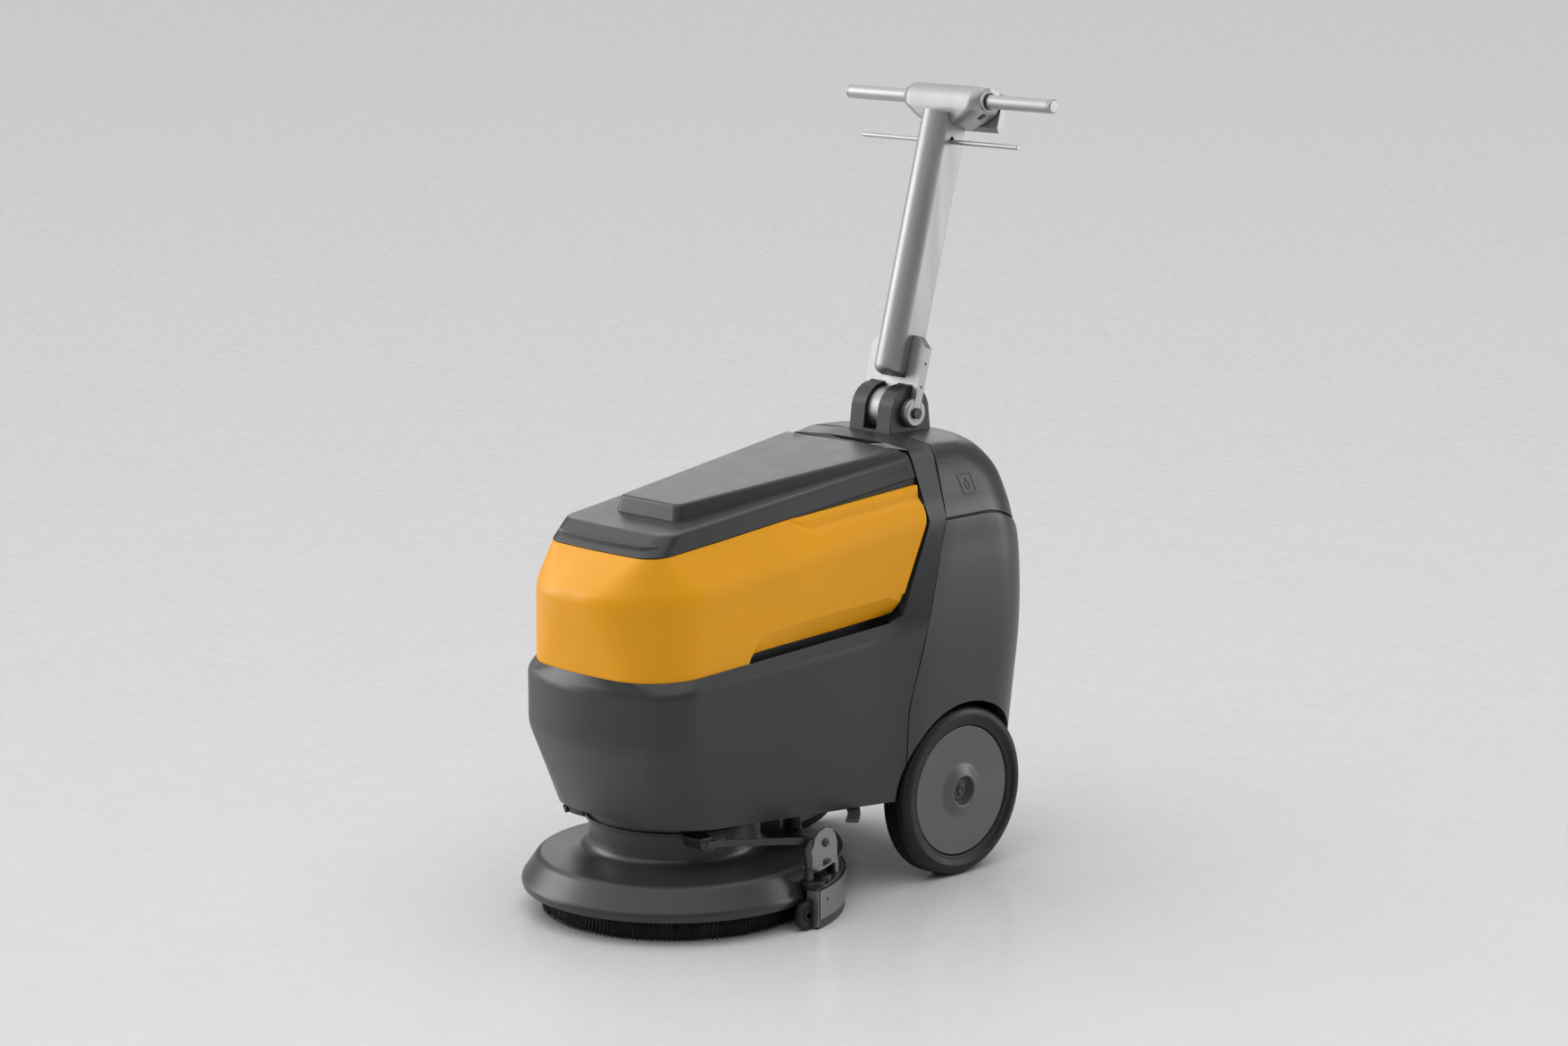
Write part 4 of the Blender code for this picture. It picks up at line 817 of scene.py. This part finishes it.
def make_brush():
    plate = rounded([(0, 0.034), (0.15, 0.034), (0.16, 0.03), (0.16, BRISTLE_TOP + 0.0004),
                     (0, BRISTLE_TOP + 0.0004)], 0.001, 3)
    lathe("brush_plate_skin", plate, DARK, "brush", "brush_plate", steps=96, closed=False)
    core = rounded([(0, 0.022), (0.16, 0.022), (0.1605, 0.004), (0.158, 0.001), (0, 0.001)], 0.001, 3)
    lathe("bristle_bed", core, BRISTLE, "brush", "brush_bristles", steps=96, closed=False)
    bm = bmesh.new()
    # each ring of tufts: its radius, how many there are, and how far they lean outwards
    rows = ((0.1642, 210, 1), (0.1622, 200, 0.5), (0.151, 90, 0), (0.139, 80, 0))
    for ring, (radius, count, lean) in enumerate(rows):
        for i in range(count):
            angle = 2 * pi * (i + 0.37 * ring) / count
            wobble = sin(i * 12.9898 + ring * 78.233)
            angle += 0.012 * wobble
            outward = spoke(angle)
            foot = outward * (radius - 0.0045 * lean)
            tip = spoke(angle + 0.006 * wobble) * min(radius + 0.0004 * sin(i * 4.1), 0.1647)
            foot.z = 0.0215
            tip.z = 0.0004 + 0.0006 * abs(sin(i * 7.3))
            side = Vector((-outward.y, outward.x, 0))
            wide = 0.0012
            corners = [side * wide, outward * 0.0007, side * -wide, outward * -0.0012]
            low = [bm.verts.new(tip + c * 0.55) for c in corners]
            high = [bm.verts.new(foot + c) for c in corners]
            for k in range(4):
                m = (k + 1) % 4
                bm.faces.new((low[k], low[m], high[m], high[k]))
            bm.faces.new(low)
            bm.faces.new(list(reversed(high)))
    add_piece("bristle_tufts", bm, BRISTLE, "brush")


# ---- wheels ------------------------------------------------------
def make_wheel(name, side):
    outer, inner = TYRE_OUTER, TYRE_INNER
    place = along_x(side, (0, WHEEL_Y, WHEEL_Z))
    body = "wheel_" + name
    grooves = []
    top, floor = WHEEL_RADIUS - 0.0001, WHEEL_RADIUS - 0.0034
    for centre in (inner + 0.0225, inner + 0.016, inner + 0.0095):
        grooves += [(top, centre + 0.0017), (floor, centre + 0.0009), (floor, centre - 0.0009),
                    (top, centre - 0.0017)]
    shoulder = rounded([(0.0835, outer - 0.008), (0.0845, outer - 0.0042), (0.0905, outer - 0.0035),
                        (0.095, outer - 0.0004), (0.0985, outer - 0.0002), (0.1035, outer - 0.0016),
                        (0.1078, outer - 0.005), (WHEEL_RADIUS, outer - 0.012),
                        (WHEEL_RADIUS, inner + 0.026)], 0.0022, 4)
    back = rounded([(WHEEL_RADIUS, inner + 0.005), (0.1065, inner + 0.001), (0.0975, inner),
                    (0.084, inner + 0.003), (0.0835, outer - 0.008)], 0.0015, 3)
    lathe("tyre_skin_" + name, shoulder + grooves + back[:-1], RUBBER, body, "tyre_" + name, steps=160,
          turn=place, sharp=50)
    front = rounded([(0.0115, outer - 0.0098), (0.0175, outer - 0.0096), (0.0186, outer - 0.0008),
                     (0.02, outer), (0.0218, outer - 0.0004), (0.033, outer - 0.006),
                     (0.036, outer - 0.0066), (0.08, outer - 0.0052), (0.0822, outer - 0.005),
                     (0.0831, outer - 0.0066), (0.0831, inner + 0.003)], 0.0013, 4)
    back = [(0.08, inner + 0.003), (0.079, outer - 0.011), (0.03, outer - 0.011),
            (0.024, inner + 0.001), (0.0086, inner + 0.001), (0.0086, outer - 0.0105)]
    lathe("disc_skin_" + name, front + back, HUB_GREY, body, "wheel_disc_" + name, turn=place, sharp=38)
    screw = rounded([(0, 0.1605), (0.003, 0.1605), (0.0036, 0.1618), (0.0062, 0.1618), (0.0068, 0.16),
                     (0.0134, 0.1594), (0.0134, 0.1575), (0, 0.1575)], 0.0004, 3)
    lathe("screw_skin_" + name, screw, DARK_STEEL, "machine", "axle_screw_" + name, steps=48, turn=place,
          closed=False)


# ---- handle ------------------------------------------------------
def across(side, place=(0, 0, BAR_REACH)):
    """Lays a lathe's axis across the handle, at a place given in the column's own axes."""
    return HANDLE @ along_x(side, place)


def column_section(height, scale=1.0, steps=32):
    """A D with a half-round front and softly cornered flat sides, in the column's own axes."""
    radius, centre_y, rear, corner = 0.0212, -0.0134, 0.019, 0.0022
    points = [(radius * cos(a), centre_y + radius * sin(a))
              for a in (pi + pi * i / steps for i in range(steps + 1))]
    for sign in (1, -1):
        arc = [(sign * (radius - corner + corner * cos(a)), rear - corner + corner * sin(a))
               for a in (pi / 2 * k / 4 for k in range(5))]
        points += arc if sign > 0 else arc[::-1]
    return [Vector((scale * x, scale * y, height)) for x, y in points]


def make_column():
    rings = []
    for i in range(9):
        angle = pi / 2 * i / 8
        rings.append(column_section(0.043 + 0.011 * (1 - cos(angle)), 0.6 + 0.4 * sin(angle)))
    rings += [column_section(z) for z in (0.06, 0.12, 0.2, 0.28, 0.34, 0.385)]
    shape = moved(loft(rings, caps=True), HANDLE)
    column = add_piece("column_skin", shape, SILVER, "handle", "handle_column")
    tool = cut(column, cylinder(0.0038, -0.05, 0.05, across(1, (0, -PULL, 0.3525)), 40), "trigger_hole")
    settle(column, 30)
    drop(tool)


def make_yoke():
    refined("handle_yoke", SILVER, 0.0009, 3, 25)
    for name, side in SIDES:
        profile = rounded([(0.0105, 0.0464), (0.0158, 0.0464), (0.0178, 0.0452), (0.019, 0.0436),
                           (0.019, 0.0366), (0.0105, 0.0366)], 0.0007, 4)
        hub = turned(profile, 96, across(side, (0, 0, 0)))
        hub = add_piece("hub_skin_" + name, hub, SILVER, "handle", "pivot_hub_" + name)
        notch = box_bm((-0.06, -0.0066, 0.0), (0.06, 0.0066, 0.04), HANDLE)
        tool = cut(hub, notch, "hub_notch")
        settle(hub, 35)
        drop(tool)
        for height in (0.034, 0.064):
            disc = [(0, 0.0469), (0.0016, 0.0469), (0.0016, 0.0462), (0, 0.0462)]
            lathe("arm_hole_%s_%d" % (name, height * 1000), disc, DARK, "handle", steps=24,
                  turn=across(side, (0, 0, height)), closed=False)


def head_ring(half_width, front, rear, height, corner=0.01):
    """A rounded rectangle with a half-round front, across the column's top."""
    nose = min(0.0165, (rear - front) * 0.48)
    sections = ((half_width, rear, 0, corner * 0.35), (-half_width, rear, 1, corner * 0.35),
                (-half_width, front, 2, nose), (half_width, front, 3, nose))
    points = []
    for x, y, quarter, radius in sections:
        cx = x - copysign(radius, x)
        cy = y - radius if y == rear else y + radius
        for step in range(9):
            angle = pi / 2 * (quarter + step / 8)
            points.append(Vector((cx + radius * cos(angle), cy + radius * sin(angle), height)))
    return points


def rod_outline(radius, half, inset_by, drop_by):
    """Profile of a round rod with both ends chamfered."""
    end = [(0, half), (radius - inset_by, half), (radius, half - drop_by)]
    return end + [(r, -z) for r, z in reversed(end)]


def make_head():
    levels = ((0.03, -0.012, 0.022, 0.3705), (0.05, -0.016, 0.0235, 0.381),
              (0.0655, -0.0195, 0.0245, 0.392), (0.068, -0.021, 0.0245, 0.4054),
              (0.0675, -0.018, 0.0235, 0.416), (0.0655, -0.011, 0.0215, 0.422))
    rings = filleted([head_ring(*level) for level in levels], [0, 0.004, 0.005, 0.006, 0.004, 0], 4)
    head = add_piece("head_skin", moved(loft(rings, caps=True), HANDLE), SILVER, "handle", "handle_head")
    tool = cut(head, cylinder(0.0096, -FAR, FAR, across(1), 64), "bar_bore")
    bevelled(head, 0.0008, 3, 40, 35)
    drop(tool)
    for name, side in SIDES:
        place = across(side)
        collar = rounded([(0.0093, 0.07), (0.0125, 0.07), (0.0135, 0.0688), (0.0135, 0.0655),
                          (0.0093, 0.0655)], 0.0006, 3)
        lathe("bar_collar_" + name, collar, SILVER, "handle", steps=72, turn=place)
        gap = rounded([(0.0093, 0.0712), (0.0112, 0.0712), (0.0112, 0.069), (0.0093, 0.069)], 0.0003, 2)
        lathe("bar_gap_" + name, gap, DARK, "handle", steps=72, turn=place)
        cap = stud(0.009, 0.0018, BAR_HALF, 0.0018, 0.1744, 0.0006)
        lathe("bar_cap_skin_" + name, cap, BAR_SILVER, "handle", "bar_cap_" + name, steps=72, turn=place,
              closed=False)
        tilt = Matrix.Rotation(side * 0.93, 4, "Y")
        place = HANDLE @ Matrix.Translation((side * 0.0571, 0.005, 0.386)) @ tilt
        slot = box_bm((-0.0012, -0.003, -0.0056), (0.0012, 0.003, 0.0056), place)
        bevelled(add_piece("head_slot_" + name, slot, DARK, "handle"), 0.0009)
    bar = rod_outline(0.0092, 0.174, 0.0004, 0.0005)
    lathe("bar_skin", bar, BAR_SILVER, "handle", "handle_bar", steps=96, turn=across(1), closed=False)
    rod = rod_outline(0.003, 0.136, 0.0005, 0.0006)
    lathe("trigger_skin", rod, BAR_SILVER, "trigger", "trigger_bar", steps=40,
          turn=across(1, (0, -PULL, 0.3495)), closed=False)


# ---- squeegee ----------------------------------------------------
def arc_piece(name, radii, heights, trim, finish, node, width=0.0004, steps=96):
    """A curved strip round the brush's axis; trim is the angle left off each end of the half circle."""
    (inner, outer), (low, high) = radii, heights
    rows = []
    for i in range(steps + 1):
        angle = trim + (pi - 2 * trim) * i / steps
        rows.append([Vector((r * cos(angle), r * sin(angle), z))
                     for r, z in ((inner, low), (outer, low), (outer, high), (inner, high))])
    bevelled(add_piece(name, loft(rows, caps=True), finish, BODY_OF[node], node), width, 2, 40)


def make_swivel():
    """The slim ring round the neck, with the two lugs that carry the squeegee's arms."""
    ring = rounded([(0.1067, 0.115), (0.1105, 0.115), (0.1105, 0.119), (0.1067, 0.119)], 0.0006, 3)
    lathe("swivel_skin", ring, DARK, "squeegee_ring", "squeegee_swivel", steps=128, sharp=40)
    for name, side in SIDES:
        lug = [[Vector((side * x, LIFT.y + y, z))
                for y, z in ((-low, 0.119), (high, 0.119), (high * 0.5, 0.105), (-low * 0.5, 0.105))]
               for x, low, high in ((0.09, 0.012, 0.02), (0.112, 0.012, 0.016), (0.1215, 0.009, 0.011))]
        bevelled(add_piece("lug_" + name, loft(lug, caps=True), DARK, "squeegee_ring"), 0.0015)
        pin = stud(0.0026, 0.0004, 0.1283, 0.0004, 0.119, 0.0002, 2)
        lathe("lift_pin_" + name, pin, DARK_STEEL, "squeegee_ring", steps=32, closed=False,
              turn=along_x(side, (0, LIFT.y, LIFT.z)))


def make_squeegee():
    make_swivel()
    start = radians(12.5)
    arc_piece("blade_front_skin", (0.196, 0.1981), (0.0, 0.04), start + 0.09, BLADE, "squeegee_blade_front")
    arc_piece("blade_rear_skin", (0.209, 0.2108), (0.0, 0.048), start, BLADE, "squeegee_blade_rear")
    arc_piece("clamp_skin", (0.2112, CLAMP_RADIUS), (0.012, 0.048), start + 0.01, STEEL, "blade_clamp",
              0.0003)
    for name, side in SIDES:
        make_carrier_details(name, side)
        wheel = rounded([(0.004, 0.005), (0.007, 0.005), (0.0082, 0.0036), (0.0105, 0.0036),
                         (0.0118, 0.005), (0.0158, 0.005), (0.0183, 0.0028), (0.0183, -0.0028),
                         (0.0158, -0.005), (0.004, -0.005)], 0.001, 4)
        low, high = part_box("end_wheel_" + name)
        lathe("end_wheel_skin_" + name, wheel, RUBBER, "end_wheel_" + name, "end_wheel_" + name, steps=72,
              turn=along_x(side, (low + high) / 2))
        low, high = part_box("bumper_" + name)
        centre = Vector(((low.x + high.x) / 2, (low.y + high.y) / 2, low.z))
        bumper = rounded([(0.004, 0.0095), (0.0132, 0.0095), (0.0155, 0.0072), (0.0155, 0.0024),
                          (0.0132, 0), (0.004, 0)], 0.0012, 4)
        lathe("bumper_skin_" + name, bumper, RUBBER, "bumper_" + name, "bumper_" + name, steps=72,
              turn=Matrix.Translation(centre))


def make_carrier_details(name, side):
    """The upright, end plate, lift plate, bolts, boss and spacers on one side of the squeegee."""
    bolt = rounded([(0, 0.003), (0.0034, 0.003), (0.0042, 0.0022), (0.0042, 0.0006), (0.0058, 0.0006),
                    (0.0058, -0.0008), (0, -0.0008)], 0.0004, 3)
    lathe("carrier_bolt_" + name, bolt, DARK_STEEL, "squeegee", steps=40, closed=False,
          turn=along_x(side, (side * 0.19, 0.0735, 0.101)))
    bracket = [[Vector((side * x, y, z)) for x, y in corners] for z, corners in (
        (0.0515, ((0.185, 0.038), (0.195, 0.038), (0.195, 0.051), (0.185, 0.051))),
        (0.07, ((0.1855, 0.042), (0.192, 0.042), (0.192, 0.051), (0.1855, 0.051))),
        (0.096, ((0.1845, 0.04), (0.1895, 0.04), (0.1895, 0.0525), (0.1845, 0.0525))),
        (0.108, ((0.1835, 0.05), (0.188, 0.05), (0.188, 0.06), (0.1835, 0.06))))]
    bevelled(add_piece("upright_" + name, loft(bracket, caps=True), DARK, "squeegee"), 0.0014)
    tip = radians(12.1)
    plate = []
    for radius, low in ((0.1955, 0.0015), (0.2035, 0.0015), (0.2122, 0.004)):
        spot = Vector((side * radius * cos(tip), radius * sin(tip), 0))
        half = Vector((side * -sin(tip), cos(tip), 0)) * 0.0007
        foot, head = Vector((0, 0, low)), Vector((0, 0, 0.0485))
        plate.append([spot - half + foot, spot + half + foot, spot + half + head, spot - half + head])
    settle(add_piece("end_plate_" + name, loft(plate, caps=True), STEEL, "squeegee"))
    nut = stud(0.0022, 0.0006, 0.001, 0.0006, -0.0006, 0.0002, 2)
    for degrees in (18, 40, 62):
        around = radians(degrees)
        out = Vector((side * CLAMP_RADIUS * cos(around), CLAMP_RADIUS * sin(around), 0))
        facing = out.to_track_quat("Z", "Y").to_matrix().to_4x4()
        lathe("clamp_bolt_%s_%d" % (name, degrees), nut, DARK_STEEL, "squeegee", steps=24, closed=False,
              turn=Matrix.Translation(out + Vector((0, 0, 0.034))) @ facing)
    outline = ((-0.072, 0.115), (-0.068, 0.104), (-0.056, 0.1035), (-0.034, 0.115))
    plate = [[Vector((side * x, y, z)) for y, z in outline] for x in (0.1262, 0.1278)]
    bevelled(add_piece("lift_plate_" + name, loft(plate, caps=True), DARK_STEEL, "squeegee"), 0.0006, 2)
    boss = stud(0.005, 0.001, 0.002, 0.0008, -0.001, 0.0004)
    lathe("lift_boss_" + name, boss, DARK_STEEL, "squeegee", steps=40, closed=False,
          turn=along_x(side, (side * 0.1278, LIFT.y, LIFT.z)))
    radius, angle = 0.1965, 0.4
    spacer = stud(0.0115, 0.0015, 0.005, 0.0014, -0.003, 0.0008)
    for step, height in enumerate((0.0755, 0.054)):
        spot = Vector((radius * side * cos(angle), radius * sin(angle), height))
        lathe("spacer_%s_%d" % (name, step), spacer, DARK, "squeegee", steps=48, closed=False,
              turn=Matrix.Translation(spot))


# ---- everything else keeps its CAD shape: some parts with broken edges, the rest with new finishes ------
def make_fittings():
    for node, finish, width in (
            ("handle_bracket", DARK, 0.0012), ("control_panel", SILVER, 0.0014),
            ("power_button", ORANGE, 0.0005), ("squeegee_arm_left", DARK_STEEL, 0.0006),
            ("squeegee_arm_right", DARK_STEEL, 0.0006), ("squeegee_carrier_left", STEEL, 0.0004),
            ("squeegee_carrier_right", STEEL, 0.0004), ("squeegee_body", STEEL, 0.0008),
            ("catch_plate_left", DARK_STEEL, 0.001), ("catch_plate_right", DARK_STEEL, 0.001),
            ("filler_cap", DARK, 0.001)):
        refined(node, finish, width)
    for finish, nodes in (
            (STEEL, "motor_plate chassis_plate component_shelf wheel_axle"),
            (STEEL, "axle_bracket_left axle_bracket_right"), (SILVER, "brush_gearmotor drive_hub"),
            (BATTERY, "battery_pack"), (BOARD, "control_board"),
            (DARK, "suction_motor solution_pump float_cage suction_nozzle"), (DARK_STEEL, "pivot_pin"),
            (RUBBER, "solution_hose lid_seal")):
        for node in nodes.split():
            for slot in frame["nodes"][node].material_slots:
                slot.material = finish


# ---- studio ------------------------------------------------------
def soft_light(name, place, size, size_y, power, spared):
    """A band of light aimed at the machine's middle, which lights all but the spared collection."""
    lamp = bpy.data.lights.new(name, "AREA")
    lamp.shape = "RECTANGLE"
    lamp.size = size
    lamp.size_y = size_y
    lamp.energy = power
    obj = new_object(name, lamp)
    obj.location = place
    obj.rotation_euler = (Vector((0, 0.1, 0.4)) - Vector(place)).to_track_quat("-Z", "Y").to_euler()
    obj.visible_camera = False
    obj.light_linking.receiver_collection = spared


def make_studio():
    bm = bmesh.new()
    reach = 40
    face_through(bm, ((-reach, -reach, 0), (reach, -reach, 0), (reach, reach, 0), (-reach, reach, 0)))
    floor = new_object("floor", to_mesh("floor", bm))
    floor.data.materials.append(
        surface("studio_floor", (0.84, 0.84, 0.85), 0.25, grain=60, bump=0.0, mottle=0.01))
    spared = bpy.data.collections.new("spared_by_bands")
    spared.objects.link(floor)
    spared.collection_objects[0].light_linking.link_state = "EXCLUDE"
    world = bpy.data.worlds.new("studio")
    world.use_nodes = True
    background = world.node_tree.nodes["Background"]
    background.inputs["Color"].default_value = (0.8, 0.81, 0.82, 1)
    background.inputs["Strength"].default_value = 0.3
    bpy.context.scene.world = world
    bpy.context.scene.view_settings.view_transform = "Standard"
    sun = bpy.data.lights.new("sky", "SUN")
    sun.energy = 2.45
    sun.angle = radians(110)
    lamp = new_object("sky", sun)
    lamp.rotation_euler = (radians(10), radians(-8), 0)
    soft_light("left_band", (-5.0, -2.5, 1.7), 3.3, 4.2, 200, spared)
    soft_light("right_band", (3.4, 5.1, 1.7), 2.4, 3.8, 135, spared)
    soft_light("back_band", (-4.6, 4.8, 2.6), 4.0, 2.4, 48, spared)
    camera = bpy.data.cameras.new("camera")
    camera.lens = 87.5
    camera.sensor_width = 36
    obj = new_object("camera", camera)
    obj.location = (3.3448, -3.0995, 1.3569)
    obj.rotation_euler = (radians(90 - 10.89), 0, radians(45.48))
    bpy.context.scene.camera = obj


make_hull()
make_tank_well()
make_rear_cover()
make_icon(make_top_cap())
make_seam_lining()
make_tank()
make_lid()
make_lid_details()
make_deck()
make_brush()
make_wheel("left", 1)
make_wheel("right", -1)
make_column()
make_yoke()
make_head()
make_squeegee()
make_fittings()
make_studio()
